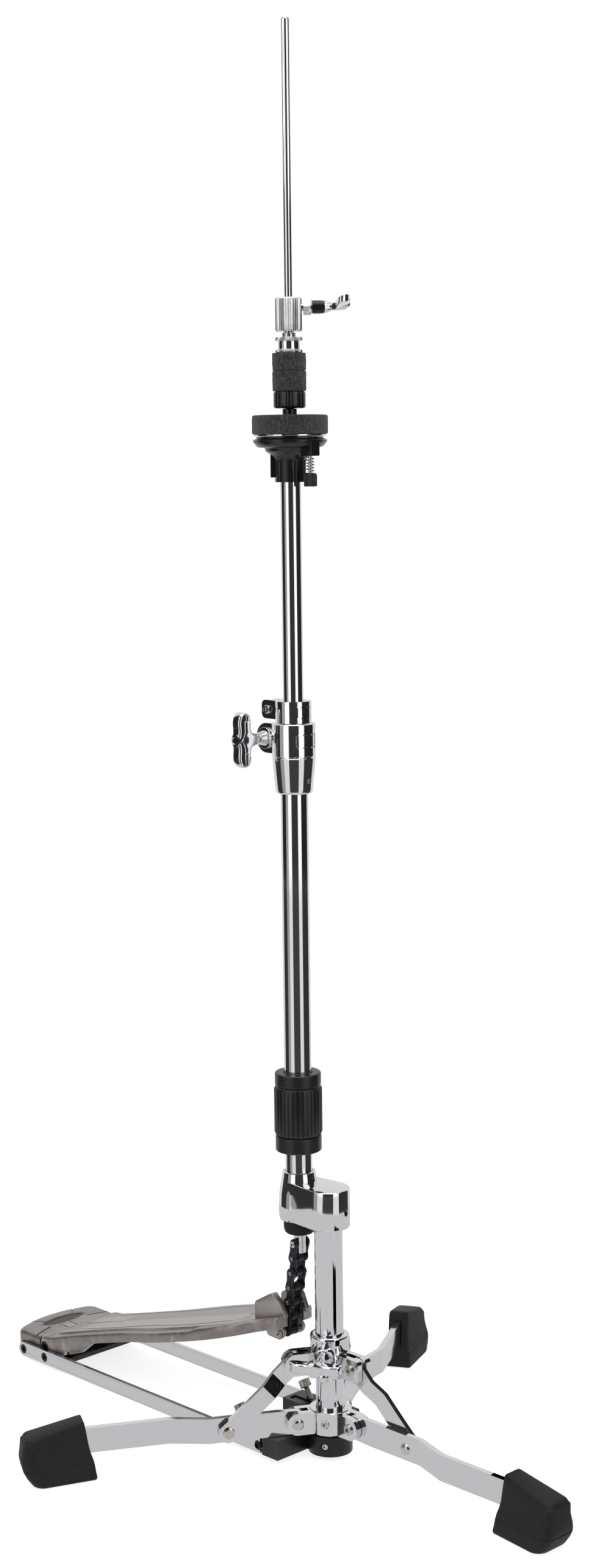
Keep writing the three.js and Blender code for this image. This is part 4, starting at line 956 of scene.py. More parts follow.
def cheek(r, z, half, out, square):
    """Block whose rounded or square end carries a pin at distance r and height z."""
    if not square:
        return leg_on(slab(link((12, z), (r, z), out), -half, half))
    c = 3.4
    pts = (
        [(10, z - out)] + arc(r + out - c, z - out + c, c, -90, 0, 6)
        + arc(r + out - c, z + out - c, c, 0, 90, 6) + [(10, z + out)]
    )
    return leg_on(slab(pts, -half, half))


def fork_casting(shell, pin, half, slot, reach, squares, adds=(), cuts=()):
    """Casting with a fork for each leg; the forks named in squares have square ends."""
    pin_r, pin_z = pin
    steps = [
        ("+", moved(cheek(pin_r, pin_z, half, 8.9, tag in squares), leg_frame(az)))
        for tag, az in LEG_AZIMUTHS.items()
    ]
    steps += [("+", a) for a in adds]
    steps += [
        ("-", moved(block(reach, 60, -slot, slot, pin_z - 20, pin_z + 14.5), leg_frame(az)))
        for az in LEG_AZIMUTHS.values()
    ]
    steps += [("-", c) for c in cuts]
    return combine(shell, *steps)


def column_bore(z0, z1):
    """Tool that cuts the hole for the column."""
    return disc(COLUMN_HOLE, z0, z1, 96, at=(0, COLUMN_Y))


c0, c1 = span("leg_collar")
shell = turn([
    (8, c0 + 0.2), (16.2, c0), (16.9, c0 + 0.8), (16.9, 82), (16.0, 84.5), (15.2, 92), (15.5, 96.6),
    (15.1, c1 - 0.6), (14.2, c1), (8, c1)
], 112, at=(0, COLUMN_Y))
house = moved(round_off(merge(disc(7.4, 10, 24, 48)), 1.0, 3), aim((1, 0, 0), (0, 0, WING_Z)))
square = round_off(block(10, 22.4, -7.2, 7.2, 71, 86), 1.4, 3)
boss = combine(house, ("+", square))
COLLAR = fork_casting(
    shell, COLLAR_PIN, COLLAR_HALF, 2.4, 17.4, ("front",), adds=[moved(boss, leg_frame(SCREW_SIDE))],
    cuts=[column_bore(40, 120), bolt_hole(3.5, 8, 40, WING_Z)]
)
piece(
    "collar_casting", COLLAR, CHROME, "collar", ["leg_collar"], bevel=0.7, steps=3, angle=38
)
piece(
    "collar_wing",
    moved(butterfly(25, 44, 43, 11, 3.2, 11.8), Matrix.Translation((0, 0, WING_Z)) @ leg_frame(SCREW_SIDE)),
    CHROME, "collar_bolt", ["collar_wing_bolt"]
)
piece(
    "collar_peg",
    turn([(0, 10), (3.2, 10), (3.2, 17.4), (4.4, 18.4), (4.9, 20), (4.4, 21.8), (3, 23.1), (0, 23.6)], 40),
    CHROME, "collar", where=aim(heading(SCREW_SIDE), (0, COLUMN_Y, PEG_Z))
)
h0, h1 = span("leg_hub")
shell = turn([
    (8, h0), (16.4, h0), (17, h0 + 0.6), (17, h1 - 0.8), (16.2, h1), (8, h1)
], 112, at=(0, COLUMN_Y))
flat = moved(block(15.9, 30, -9, 9, 10, 50), leg_frame(SCREW_SIDE))
HUB = fork_casting(
    shell, LEG_PIN, HUB_HALF, 2.9, 18.4, (),
    cuts=[flat, column_bore(0, 60), bolt_hole(3.5, 12, 40, LEG_PIN[1])]
)
piece("hub_casting", HUB, CHROME, "base", ["leg_hub"], bevel=0.7, steps=3, angle=38)
piece(
    "hub_set_screw", socket_screw(3.4, 16.9, 1.5, 2.2, -12.2), NICKEL, "base",
    where=aim(heading(SCREW_SIDE), (0, COLUMN_Y, LEG_PIN[1])), bevel=0.2
)


def fork_pins(tag, az, pin, half, body, name):
    """The pin through a fork, with a socket head on one side and a rivet head on the other."""
    r, z = pin
    for side, make in ((-1, socket_screw(4.3, 1.7, 1.9, 1.4, 1.2)), (1, dome(4.6, 1.9, 1.2))):
        head = moved(make, aim((0, side, 0), (r, side * half, z)))
        piece(
            f"{name}_{tag}_{'screw' if side < 0 else 'rivet'}", moved(head, leg_frame(az)), NICKEL, body,
            bevel=0.15
        )
    shank = bar_along((0, 1, 0), (r, 0, z), 2.45, -half - 0.2, half + 0.2, 32)
    piece(f"{name}_{tag}_pin", moved(shank, leg_frame(az)), NICKEL, body)


# ------------------------------------------------------------------ legs, feet and braces
BRACE_RIVET = (83.5, 28)
LEG_SHIFT = -9.5  # sideways step of a leg between its hub end and its foot


def leg_side():
    """Side view of a leg bar, round about its pin."""
    pts = arc(*LEG_PIN, 9.2, 90, 270, 20)
    return pts + [(40, 19.2), (46, 19.0), (214, 19.0), (214, 39.0), (46, 39.0), (40, 38.8)]


def joggled(r0, r1, a, b, half, wide=2.2):
    """Plan of a flat bar of thickness 2*half whose middle moves from t=a to t=b between two bends."""
    (x0, x1), line = wide, [(r0, a)]
    dx, dt = x1 - x0, b - a
    for k in range(5):
        u = k / 4
        line.append((x0 - 1.5 * (1 - u) ** 2 + 1.5 * u * u * dx / abs(dx), a + 1.5 * u * u * dt / dx))
    for k in range(5):
        u = k / 4
        line.append((x1 - 1.5 * (1 - u) ** 2 + 1.5 * u * u, b - 1.5 * (1 - u) ** 2 * dt / dx))
    line.append((r1, b))
    up = [(x, t + half) for x, t in line]
    return up + [(x, t - half) for x, t in reversed(line)]


def leg_bar():
    plan = joggled(15, 216, 0, LEG_SHIFT, 2.5, (98, 127.5))
    return combine(
        slab(plan, 10, 60), ("*", leg_on(slab(leg_side(), -40, 40))),
        ("-", bar_along((0, 1, 0), (LEG_PIN[0], 0, LEG_PIN[1]), 2.8, -20, 20, 32))
    )


def rounded(r0, r1, h0, h1, c0, c1, z, inset=0.0):
    """Loop round a foot at one level: the corners are rounded and z may depend on r."""
    r0, r1, h0, h1 = r0 + inset, r1 - inset, h0 - inset, h1 - inset
    pts = (
        arc(r1 - c1, h1 - c1, c1, 90, 0, 6) + arc(r1 - c1, -h1 + c1, c1, 0, -90, 6)
        + arc(r0 + c0, -h0 + c0, c0, -90, -180, 4) + arc(r0 + c0, h0 - c0, c0, 180, 90, 4)
    )
    return [(r, t + LEG_SHIFT, z(r) if callable(z) else z) for r, t in pts]


def crest(r):
    """Height of a foot's sloping top."""
    return 47 - (r - 199) * 10 / 41


def foot():
    """Rubber foot: loops from the sole up, each with its ends, half widths and height."""
    levels = [
        (188.6, 234.5, 10.2, 15.0, 0), (187.2, 236.2, 11.6, 16.6, 0.5), (186.6, 237.2, 12.0, 17.2, 1.6),
        (187.5, 241.2, 11.2, 17.3, 7), (188.2, 243.8, 10.7, 17.2, 12.2)
    ]
    rows = [rounded(r0, r1, h0, h1, 2, 8.5, z) for r0, r1, h0, h1, z in levels]
    rows += [rounded(188.3, 243.8, 10.7, 17.2, 2, 8.5, z, 0.4) for z in (12.6, 13.2)]
    levels = [
        (188.5, 244.0, 10.5, 17.1, 13.6), (189.4, 244.7, 10.0, 16.2, 16.5), (190.6, 245.1, 9.3, 15.0, 20),
        (192.2, 244.5, 8.8, 13.8, 26)
    ]
    rows += [rounded(r0, r1, h0, h1, 2, 8.5, z) for r0, r1, h0, h1, z in levels]
    rows += [
        rounded(194.2, 243.4, 8.8, 12.8, 1.8, 5, lambda r: 33 + (243.4 - r) * 0.10),
        rounded(195.4, 242.4, 8.6, 11.9, 1.8, 4.5, lambda r: crest(r) - 3.0),
        rounded(196.3, 241.4, 7.9, 10.8, 1.8, 4, lambda r: crest(r) - 0.9),
        rounded(198.0, 240.2, 6.4, 9.0, 1.6, 3.4, lambda r: crest(r) - 0.1)
    ]
    body = loft(rows)
    return combine(body, ("-", block(150, 214.4, -12.35, -6.65, 18.7, 39.3)))


def brace():
    """Flat bar from the collar's pin, at its own origin, to the leg's rivet."""
    a, c = BRACE_RIVET, COLLAR_PIN
    length = math.hypot(a[0] - c[0], a[1] - c[1])
    ang = math.atan2(a[1] - c[1], a[0] - c[0])
    plan = joggled(-12, length + 12, 0, 4.9, 2, (17, 30))

    def rim(x, degrees):
        """Point on the round end of radius 8 about (x, 0)."""
        a = math.radians(degrees)
        return (x + 8 * math.cos(a), 8 * math.sin(a))

    near, far = length * 0.3, length * 0.72
    side = (
        arc(length, 0, 8, -80, 80, 16) + bezier(rim(length, 80), (far, 6.9), (near, 6.9), rim(0, 100), 14)
    )
    side += arc(0, 0, 8, 100, 260, 20)[1:]
    side += bezier(rim(0, 260), (near, -6.9), (far, -6.9), rim(length, -80), 14)[:-1]
    bar = combine(
        slab(plan, -20, 20), ("*", leg_on(slab(side, -20, 20))),
        ("-", bar_along((0, 1, 0), (0, 0, 0), 6, -9, 9, 40)),
        ("-", bar_along((0, 1, 0), (length, 0, 0), 2.8, -20, 20, 32))
    )
    return moved(bar, Matrix.Translation((c[0], 0, c[1])) @ Matrix.Rotation(-ang, 4, "Y"))


for tag, az in LEG_AZIMUTHS.items():
    body = f"leg_{tag}"
    piece(
        f"leg_bar_{tag}", leg_bar(), BAR_CHROME, body, [f"leg_{tag}"], bevel=0.8, steps=3,
        where=leg_frame(az)
    )
    piece(
        f"foot_rubber_{tag}", foot(), RUBBER, body, [f"foot_{tag}"], bevel=0.25, angle=50,
        where=leg_frame(az)
    )
    piece(
        f"brace_bar_{tag}", brace(), BAR_CHROME, f"brace_{tag}", [f"brace_{tag}"], bevel=0.7, steps=3,
        where=leg_frame(az)
    )
    fork_pins(tag, az, COLLAR_PIN, COLLAR_HALF, "collar", "collar")
    fork_pins(tag, az, LEG_PIN, HUB_HALF, "base", "hub")
    piece(
        f"leg_rivet_{tag}",
        moved(
            moved(
                turn([
                    (0, -4.6), (2.6, -4.4), (4.3, -3.1), (4.5, -2.5), (2.5, -2.5), (2.5, 7.2), (4.6, 7.2),
                    (4.5, 8.1), (3.6, 8.7), (2.7, 8.7), (2.5, 8.3), (1.4, 8.3), (1.2, 8.7), (0, 8.8)
                ], 40),
                aim((0, 1, 0), (BRACE_RIVET[0], 0, BRACE_RIVET[1]))
            ),
            leg_frame(az)
        ),
        NICKEL, body
    )

# ------------------------------------------------------------------ base block, rails and spurs
k0, k1 = span("base_block")
BASE_SCREW = heading(SCREW_SIDE), (0, COLUMN_Y, 11)
neck = slab([(-15.5, COLUMN_Y), (-13, 18), (13, 18), (15.5, COLUMN_Y)], k0, k1)
core = combine(
    disc(17.5, k0, k1, 96, at=(0, COLUMN_Y)), ("+", neck), ("+", block(-46, 46, 1.4, 19.2, k0, k1)),
    ("+", block(20, 42.9, -43, 4, 6, k1)), ("+", block(-42.9, -20, -43, 4, 6, k1)),
    ("-", disc(COLUMN_HOLE, 5.6, 40, 96, at=(0, COLUMN_Y))),
    ("-", block(-13.5, 13.5, 3.8, 14.4, k1 - 1.3, k1 + 3)),
    ("-", block(23.4, 30.6, -39, -8, k1 - 1.2, k1 + 3)),
    ("-", block(-30.6, -23.4, -39, -8, k1 - 1.2, k1 + 3))
)
SPUR = heading(90, 33 - 90)
SPUR_TOP = (36, -33.4, 29)


def spur_frame(s):
    """Frame at a spur's head, with z along its screw; s is 1 on the right and -1 on the left."""
    return aim(SPUR, (SPUR_TOP[0] * s, *SPUR_TOP[1:]))


# holes for the spurs, the rails' screws and the set-screw
core = combine(
    core, *[("-", moved(disc(2.95, -10, 60, 32), spur_frame(s))) for s in (1, -1)],
    *[("-", bar_along((s, 0, 0), (0, -2.2, 10), 2.3, 34, 44.5, 28)) for s in (1, -1)],
    ("-", bar_along(*BASE_SCREW, 3.1, 14.6, 30, 32))
)
piece(
    "base_casting", core, BLACK_METAL, "base", ["base_block"], bevel=0.9, steps=3, angle=40,
)
piece(
    "base_set_screw", socket_screw(3.0, 17.0, 1.6, 2.0, -14.8), NICKEL, "base", where=aim(*BASE_SCREW),
)
y0, y1, zl, zh = -307.5, 0.0, 4.0, 16.3  # both rails: their ends, and their lower and upper edge
zc, h = (zl + zh) / 2, (zh - zl) / 2
RAIL_IN, RAIL_OUT = 43.4, 46.8
RAIL_SCREW_AT = (-2.2, 10)
HEEL_SCREWS_Y = (-301, -272)
RAIL_HOLES = ((*RAIL_SCREW_AT, 3.75), *[(y, zc, 3.95) for y in HEEL_SCREWS_Y])
for s, side in ((1, "right"), (-1, "left")):
    outline = (
        [(y0 + h - h * math.sin(i * math.pi / 16), zc + h * math.cos(i * math.pi / 16)) for i in range(17)]
        + [(y1, zl), (y1, zh)]
    )
    x0, x1 = sorted((RAIL_IN * s, RAIL_OUT * s))
    holes = [bar_along((s, 0, 0), (0, y, z), r, 40, 50, 40) for y, z, r in RAIL_HOLES]
    piece(
        f"rail_bar_{side}", combine(side_on(slab(outline, x0, x1)), ("-", merge(*holes))), BAR_CHROME,
        "base", [f"rail_{side}"], bevel=0.55, steps=3
    )
    piece(
        f"rail_screw_{side}", socket_screw(3.4, 1.2, 1.9, 1.6, 10), BLACK_METAL, "base",
        [f"rail_bolt_{side}"], bevel=0.3, where=aim((s, 0, 0), (RAIL_OUT * s, *RAIL_SCREW_AT)),
    )
    for k, y in enumerate(HEEL_SCREWS_Y):
        piece(
            f"heel_screw_{side}_{k + 1}", socket_screw(3.9, -0.1, 1.9, 1.6, 3.2), BLACK_METAL, "base",
            bevel=0.35, where=aim((s, 0, 0), (RAIL_OUT * s, y, zc))
        )
    head = turn(
        [(0, -3.2), (3.9, -3.2), (4.8, -2.6), (4.8, 2.9), (4.1, 3.6), (2.4, 3.6)]
        + sum([[(2.1, 4.2 + k), (2.5, 4.7 + k)] for k in range(23)], []) + [(1.6, 29), (1.2, 30), (0, 32)],
        160, teeth(26, 0.5, {2, 3})
    )
    piece(
        f"spur_screw_{side}", head, NICKEL, f"spur_{side}", [f"spur_{side}"], where=spur_frame(s),
    )

# ------------------------------------------------------------------ heel
HINGE_Y, HINGE_Z = -276.8, 17.1
HEEL_BACK, HEEL_FRONT = -323.0, -283.6


def heel_outline(k, back):
    """Plan of the heel: k is half its width, and back is its rearmost y."""
    right = (
        [(k, HEEL_FRONT), (k, back + 15)]
        + bezier((k, back + 15), (k, back + 9.5), (k - 3, back + 7.4), (k - 8, back + 5.8), 10)
    )
    right += bezier(right[-1], (k - 20, back + 2), (14, back), (0, back), 14)
    return right + [(-x, y) for x, y in reversed(right[:-1])]


top_z = span("heel_plate")[1]
shelf = [
    [(x, y, z) for x, y in heel_outline(k, b)]
    for k, b, z in (
        (42, HEEL_BACK, 15.7), (42, HEEL_BACK, 21.2), (41.6, HEEL_BACK + 0.5, 22.8),
        (40.6, HEEL_BACK + 1.6, 24.0), (39.0, HEEL_BACK + 3.2, top_z)
    )
]
for row in shelf:
    row[0], row[-1] = (row[0][0], HEEL_FRONT, row[0][2]), (row[-1][0], HEEL_FRONT, row[-1][2])
plate = loft(shelf)
under = combine(
    slab(heel_outline(42, HEEL_BACK), 8.3, 16), ("*", block(-39.4, 39.4, -340, HEEL_FRONT, 0, 30))
)
BADGE_Y = -303.0
grooves = []
for x0, y0, x1, y1, w in (
    (20, -296, 46, -287, 0.7), (-20, -296, -46, -287, 0.7), (15, -309, 34, -330, 0.7),
    (-15, -309, -34, -330, 0.7), (0, -296, 0, -280, 0.55), (10, -296, 10, -280, 0.55)
):
    d = Vector((x1 - x0, y1 - y0, 0))
    n = Vector((-d.y, d.x, 0)).normalized() * w
    grooves.append((
        "-",
        slab([
            (x0 + n.x, y0 + n.y), (x1 + n.x, y1 + n.y), (x1 - n.x, y1 - n.y), (x0 - n.x, y0 - n.y)
        ], top_z - 1.7, top_z + 2)
    ))


def oval(a, b, z0, z1):
    """Oval plate about the badge's centre."""
    return slab(round_outline(0, BADGE_Y, a, b, 64), z0, z1)


piece(
    "heel_casting",
    combine(
        plate, ("+", under), ("-", oval(23.6, 8.4, top_z - 1.4, top_z + 2)),
        ("-", block(-12, 12, HEEL_FRONT - 1.6, HEEL_FRONT + 5, 4, 14)), *grooves
    ),
    CAST, "base", ["heel_plate"], bevel=0.35, steps=3, angle=35
)
piece(
    "heel_badge_rim",
    combine(oval(23.2, 8.0, top_z - 1.38, top_z - 0.1), ("-", oval(21.8, 6.7, top_z - 3, top_z + 1))), CAST,
    "base", bevel=0.2
)
piece(
    "heel_badge_face", oval(21.7, 6.6, top_z - 1.38, top_z - 0.6), BLACK_METAL, "base", bevel=0.2,
)
for i, (x, y0, y1) in enumerate(((0, -292.6, -287.2), (10, -294.6, -289.8))):
    piece(
        f"heel_mark_{i + 1}", block(x - 0.5, x + 0.5, y0, y1, top_z - 1.08, top_z - 0.25), RED, "base",
        bevel=0.12
    )

p0, p1 = -322.0, -257.5
lug = arc(HINGE_Y, HINGE_Z, 5, 0, 180, 20) + [(HINGE_Y - 5, 5), (HINGE_Y + 5, 5)]
base_plate = combine(
    slab(heel_outline(43.0, p0), 4, 8), ("+", block(-43.1, 43.1, HEEL_FRONT - 1, p1, 4, 8)),
    ("+", block(-34, 34, p0 + 6, p1 - 8, 0.8, 5)),
    *[("+", block(*sorted((39.8 * s, 43.1 * s)), p0 + 15, HEEL_FRONT + 0.6, 4, 15.4)) for s in (1, -1)],
    *[("+", side_on(slab(lug, *sorted((14.0 * s, 22.0 * s))))) for s in (1, -1)],
    ("-", bar_along((1, 0, 0), (0, HINGE_Y, HINGE_Z), 2.8, -30, 30, 32))
)
piece(
    "heel_base", base_plate, BLACK_METAL, "base", ["heel_base_plate"], bevel=0.6, steps=3, angle=40,
)
piece(
    "heel_grip_pad",
    merge(
        *[
            round_off(block(-32, 32, y, y + 4.6, 0, 0.78), 0.3, 2)
            for y in (-314, -307, -300, -293, -286, -279, -272)
        ]
    ),
    RUBBER, "base"
)

# ------------------------------------------------------------------ footboard
# rows of (y, value): the board's half width, the groove beside its rim and the flowing groove inside it
BOARD_HEEL = -281.4
BOARD_HALF = [
    (BOARD_HEEL, 42), (-262, 42), (-250, 40.2), (-235, 38), (-212, 37.4), (-190, 37.6), (-172, 38.5),
    (-155, 41.2), (-140, 44), (-122, 46.4), (-108, 47), (-85, 47), (-70, 45.8), (-60, 44), (-50, 40.4),
    (-40, 36), (-33, 31), (-27, 26.6), (-19, 23.2), (-6, 19.5)
]
RIM_LINE = [
    (BOARD_HEEL, 34.0), (-262, 33.5), (-235, 31.5), (-212, 30.8), (-190, 31), (-172, 31.8), (-155, 34),
    (-140, 36.4), (-122, 38.2), (-108, 38.4), (-85, 38), (-70, 37), (-60, 36), (-50, 33.5), (-40, 30),
    (-33, 26.5), (-27, 23), (-19, 20), (-6, 17.2)
]
FLOW_LINE = [
    (BOARD_HEEL, 20), (-262, 21), (-235, 24), (-212, 25.4), (-190, 25.2), (-172, 24.5), (-155, 24.8),
    (-140, 26.6), (-122, 29), (-108, 30), (-85, 28.5), (-70, 26), (-60, 24), (-50, 22.4), (-40, 21),
    (-33, 19.5), (-27, 18), (-19, 16), (-6, 14.6)
]
# lower edge of the board's side near the heel
SIDE_LOW = [(BOARD_HEEL, 13), (-278.4, 10.4), (-272, 9.4), (-262, 11.6), (-232, 22.4), (-217, 34.2)]
BOARD_DEEP = 10.5


def tread(y):
    """Height of the board's top at y."""
    return 31.4 + 0.295 * (y + 262)


def side_low(y):
    """Height of the lower edge of the board's side at y."""
    if y >= SIDE_LOW[-1][0]:
        return tread(y) - BOARD_DEEP
    for (ya, za), (yb, zb) in zip(SIDE_LOW, SIDE_LOW[1:]):
        if y <= yb:
            return za + (zb - za) * (y - ya) / (yb - ya)


def fade(y, a, b):
    """Smooth step from 0 at a to 1 at b."""
    u = min(1, max(0, (y - a) / (b - a)))
    return u * u * (3 - 2 * u)


def board_row(y, roof_open):
    """Loop across the footboard at y; an open roof leaves the underside hollow."""
    h, rim, flow = (curve_through(t, y) for t in (BOARD_HALF, RIM_LINE, FLOW_LINE))
    h -= max(0.0, (y + 8.6) / 2.6) ** 2 * 1.6
    t = tread(y)
    ledge = 1.5 * (1 - fade(y, -84, -76)) * fade(y, -279, -268)
    rim_cut = 1.7 * fade(y, -276, -262) * (1 - fade(y, -52, -40))
    flow_cut = 1.5 * fade(y, -258, -246) * (1 - fade(y, -64, -46))
    spine = 1.5 * (
        fade(y, -272, -266) * (1 - fade(y, -226, -220)) + fade(y, -60, -56) * (1 - fade(y, -42, -38))
    )
    low = side_low(y)
    wall = 3.6
    top = [
        (0, t - spine), (0.55, t - spine), (0.95, t), (flow - 1.2, t), (flow - 0.35, t - flow_cut),
        (flow + 0.35, t - flow_cut), (flow + 1.2, t), (rim - 1.1, t), (rim - 0.3, t - rim_cut),
        (rim + 0.5, t - rim_cut - ledge * 0.4), (rim + 1.4, t - ledge)
    ]
    top += [
        (h - 2.6, t - ledge - 0.1), (h - 1.3, t - ledge - 0.45), (h - 0.45, t - ledge - 1.2),
        (h, t - ledge - 2.4), (h, low + 1.0), (h - 0.3, low + 0.3), (h - 1.0, low), (h - wall, low)
    ]
    roof = t - 4 if roof_open else low + 0.02
    top += [(h - wall - 0.02, roof), (h * 0.5, roof), (0, roof)]
    right = [(x, y, z) for x, z in top]
    return right + [(-x, yy, z) for x, yy, z in reversed(right[1:-1])]


ys = [BOARD_HEEL + i * 2.6 for i in range(106)] + [-7.2, -6.3, -6]
rows = []
for y in ys:
    opened = -272.4 < y < -44
    if rows and opened != was_open:
        rows.append(board_row(y - 0.02, was_open))
    rows.append(board_row(y, opened))
    was_open = opened
board = loft(rows)


def across(r, x0, x1, y, z, seg=40):
    """Round bar along x."""
    return bar_along((1, 0, 0), (0, y, z), r, x0, x1, seg)


adds, cuts = [], []
for k in (-1, 1):
    wedge = slab([(19.5 * k, -33), (9.8 * k, -33), (9.8 * k, -4), (13.5 * k, -4)], 90, 140)
    profile = side_on(
        slab([
            (-33, tread(-33) - 3), (-33, 112.4), (-31.6, 114.0), (-18, 122.3), (-16, 122.3), (-10, 117.2),
            (-4, 107), (-4, tread(-6) - 3)
        ], -30, 30)
    )
    adds.append(round_off(combine(wedge, ("*", profile)), 1.3, 3))
    tongue = (
        [(-29, tread(-29) - 9)] + arc(-24.4, 86.6, 2.2, 180, 270, 5) + arc(-13.6, 90.6, 6.2, 270, 360, 8)
        + [(-7.4, 93), (-11.5, tread(-11.5) - 9)]
    )
    adds.append(round_off(side_on(slab(tongue, *sorted((9.0 * k, 12.0 * k)))), 0.5, 2))
    cuts.append(across(4.8, *sorted((40.2 * k, 60.0 * k)), HINGE_Y, HINGE_Z))
    cuts.append(block(*sorted((33.0 * k, 60.0 * k)), -252, -246.4, 0, 19.5))
    cuts.append(block(*sorted((33.0 * k, 60.0 * k)), -266, -261, 0, 12.6))
    cuts.append(block(*sorted((30.0 * k, 60.0 * k)), -101, -97, 0, tread(-99) - BOARD_DEEP + 1.6))
relief = side_on(
    slab([(-283, -2), (-283, HINGE_Z + 7.4), (HINGE_Y + 8, HINGE_Z + 7.4), (HINGE_Y + 16, -2)], -23.4, 23.4)
)
boss = [
    ("+", moved(ring(4.81, 5.6, 41.0, 41.98, 48), aim((s, 0, 0), (0, HINGE_Y, HINGE_Z)))) for s in (1, -1)
]
BOARD = combine(
    board, *[("+", a) for a in adds], *boss, ("-", relief), ("-", block(-9, 9, -19.5, 10, 60, 140)),
    ("-", across(2.8, -60, 60, HINGE_Y, HINGE_Z)), ("-", across(2.2, -20, 20, *TOE)),
    *[("-", c) for c in cuts]
)
piece("tread_plate", BOARD, CAST, "pedal", ["footboard"], bevel=0.3, steps=2, angle=36)


def groove_shade_strip(name, table, side, y0, y1, cut, half=0.62):
    """Dark strip at the bottom of a groove in the tread, with pointed ends: painted shade in the groove."""
    n = 60
    rows = []
    for i in range(n + 1):
        y = y0 + (y1 - y0) * i / n
        x = side * curve_through(table, y)
        z = tread(y) - cut
        w = half * min(1.0, 4 * i / n + 0.15, 4 * (n - i) / n + 0.15)
        rows.append([(x - w, y, z - 0.3), (x + w, y, z - 0.3), (x + w, y, z + 0.12), (x - w, y, z + 0.12)])
    piece(name, loft(rows), GROOVE_SHADE, "pedal")


# dark strips in the tread's grooves: painted shade
for s, side in ((1, "right"), (-1, "left")):
    groove_shade_strip(f"tread_rim_groove_shade_{side}", RIM_LINE, s, -262, -54, 1.7)
    groove_shade_strip(f"tread_flow_groove_shade_{side}", FLOW_LINE, s, -245, -66, 1.5)
for k, (y0, y1) in enumerate(((-266, -224), (-56, -42))):
    groove_shade_strip(f"tread_spine_shade_{k + 1}", [(-300, 0), (0, 0)], 1, y0, y1, 1.5)
for s, side in ((1, "right"), (-1, "left")):
    piece(
        f"hinge_bolt_{side}", socket_screw(4.3, 0.6, 2.1, 1.6, 0.9), BLACK_METAL, "pedal", bevel=0.3,
        where=aim((s, 0, 0), (41.2 * s, HINGE_Y, HINGE_Z))
    )
    piece(
        f"toe_screw_{side}", socket_screw(2.4, 1.7, 1.2, 1.2, 0.2), NICKEL, "pedal", bevel=0.15,
        where=aim((s, 0, 0), (12.6 * s, *TOE))
    )
    piece(
        f"toe_washer_{side}", ring(2.45, 3.3, 12.15, 13.2, 48), NICKEL, "pedal", bevel=0.5, steps=3,
        where=aim((s, 0, 0), (0, *TOE))
    )
piece("toe_shaft", across(1.8, -12.6, 12.6, *TOE), NICKEL, "pedal", ["toe_pin"])

# ------------------------------------------------------------------ carried-over CAD parts
for node, material in (("return_spring", SATIN), ("hinge_pin", NICKEL)):
    for part_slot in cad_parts[node].material_slots:
        part_slot.material = material

# ------------------------------------------------------------------ camera, floor and light
scene = bpy.context.scene
scene.view_settings.view_transform = "Standard"
cam = bpy.data.cameras.new("camera")
cam.lens = 54.9
cam.sensor_width = 36
cam_ob = bpy.data.objects.new("camera", cam)
scene.collection.objects.link(cam_ob)
toward = heading(225.77, -7.55)
cam_ob.matrix_world = (
    Matrix.Translation(IN_FRAME @ Vector((1275.7, 1311.8, 773.3)))
    @ toward.to_track_quat("-Z", "Y").to_matrix().to_4x4()
    @ Matrix.Rotation(math.radians(-0.7), 4, "Z")
)
scene.camera = cam_ob


def plain(name, colour, rough=0.9, glow=0.0):
    """Matte material without shine, which may glow white."""
    m = bpy.data.materials.new(name)
    m.use_nodes = True
    b = m.node_tree.nodes["Principled BSDF"]
    b.inputs["Base Color"].default_value = (*colour, 1)
    b.inputs["Roughness"].default_value = rough
    b.inputs["Specular IOR Level"].default_value = 0.0
    if glow:
        b.inputs["Emission Color"].default_value = (1, 1, 1, 1)
        b.inputs["Emission Strength"].default_value = glow
    return m


def stage_sheet(name, verts, faces, material, seen=False):
    """Sheet of the stage; one that isn't seen shows only in reflections."""
    me = bpy.data.meshes.new(name)
    me.from_pydata(verts, [], faces)
    ob = bpy.data.objects.new(name, me)
    scene.collection.objects.link(ob)
    me.materials.append(material)
    ob.visible_camera = ob.visible_shadow = ob.visible_diffuse = seen
    return ob


FLOOR = plain("floor_paper", (0.45, 0.45, 0.45), 0.95, 0.8)
corners = [(x * 14, y * 14, -0.0005) for x, y in ((-1, -1), (1, -1), (1, 1), (-1, 1))]
floor = stage_sheet("floor", corners, [(0, 1, 2, 3)], FLOOR, seen=True)
floor.visible_glossy = False


def glowing_strip(name, az0, az1, power, steps, edges):
    """Bent strip between two azimuths, seen only in reflections; edges gives its two (distance, z)."""
    verts = []
    for i in range(steps + 1):
        d = heading(az0 + (az1 - az0) * i / steps)
        verts += [(d.x * r, d.y * r, z) for r, z in edges]
    faces = [(2 * i, 2 * i + 2, 2 * i + 3, 2 * i + 1) for i in range(steps)]
    stage_sheet(name, verts, faces, plain(name, (0, 0, 0), 1.0, power))


FAR, NEAR = 2.6, 0.66
WALL = ((FAR, 0.0), (FAR, 3.4))


def under_card(name, az0, az1, power, r0, r1):
    glowing_strip(name, az0, az1, power, 10, ((r0, -0.002), (r1, -0.002)))


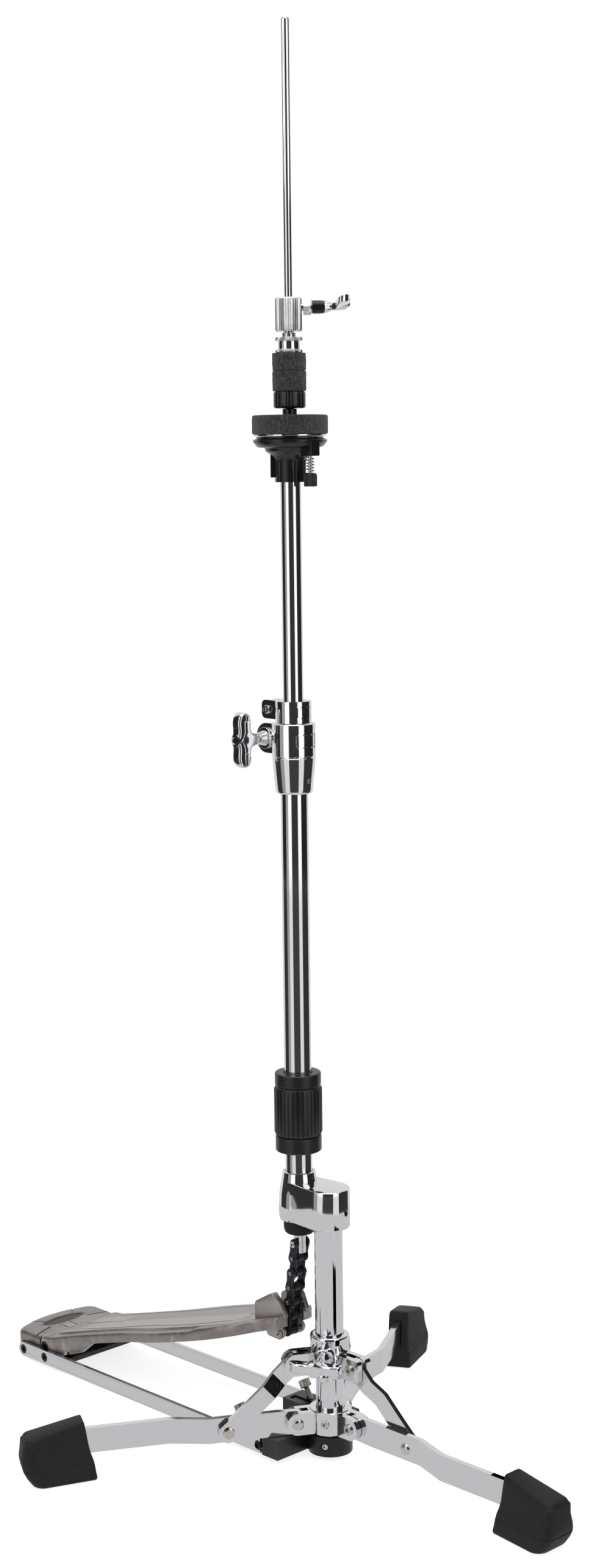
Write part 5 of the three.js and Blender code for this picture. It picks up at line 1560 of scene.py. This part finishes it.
# what the chrome sees round the object: (from azimuth, to azimuth, brightness)
BANDS = (
    (19.5, 71.5, 0.04), (71.5, 74, 0.6), (74, 101, 1.3), (101, 166, 0.02), (286, 329, 0.02),
    (329, 351, 0.4), (351, 379.5, 1.3)
)
for i, (a, b, power) in enumerate(BANDS):
    glowing_strip(f"card_{i}", a, b, power, 6, WALL)
    under_card(f"floor_card_{i}", a, b, min(power, 1.0) * 0.85 + 0.02, NEAR, FAR)
under_card("floor_card_near", 0, 360, 0.66, 0.0, NEAR)
under_card("floor_card_back", 166, 286, 0.8, NEAR, FAR)

# a small dark card that the bent facet of the left brace reflects
flag_at, flag_side = IN_FRAME @ Vector((2, 207, 69.5)), heading(12.5) * 0.042
corners = [
    flag_at + flag_side * a + Vector((0, 0, b * 0.03)) for a, b in ((-1, -1), (-1, 1), (1, 1), (1, -1))
]
stage_sheet("dark_flag", corners, [(0, 1, 2, 3)], plain("flag_black", (0, 0, 0)))

world = bpy.data.worlds.new("studio")
scene.world = world
world.use_nodes = True
wt = world.node_tree
wt.nodes["Background"].inputs["Color"].default_value = (1, 1, 1, 1)
ray = wt.nodes.new("ShaderNodeLightPath")
power = wt.nodes.new("ShaderNodeMapRange")
power.inputs["To Min"].default_value = 0.8
power.inputs["To Max"].default_value = 1.15
wt.links.new(ray.outputs["Is Camera Ray"], power.inputs["Value"])
wt.links.new(power.outputs["Result"], wt.nodes["Background"].inputs["Strength"])


def soft_light(name, at, aim_at, power, size):
    data = bpy.data.lights.new(name, "AREA")
    data.energy = power
    data.shape = "RECTANGLE"
    data.size, data.size_y = size
    ob = bpy.data.objects.new(name, data)
    scene.collection.objects.link(ob)
    ob.location = at
    ob.rotation_euler = (Vector(aim_at) - Vector(at)).to_track_quat("-Z", "Y").to_euler()


soft_light("top", (0.3, 0.2, 3.2), (0, 0, 0.4), 30, (2.2, 2.2))
soft_light("left", (2.3, -1.5, 1.6), (0, 0, 0.6), 14, (1.0, 2.2))
soft_light("right", (-0.9, 2.6, 1.6), (0, 0, 0.6), 14, (1.0, 2.2))
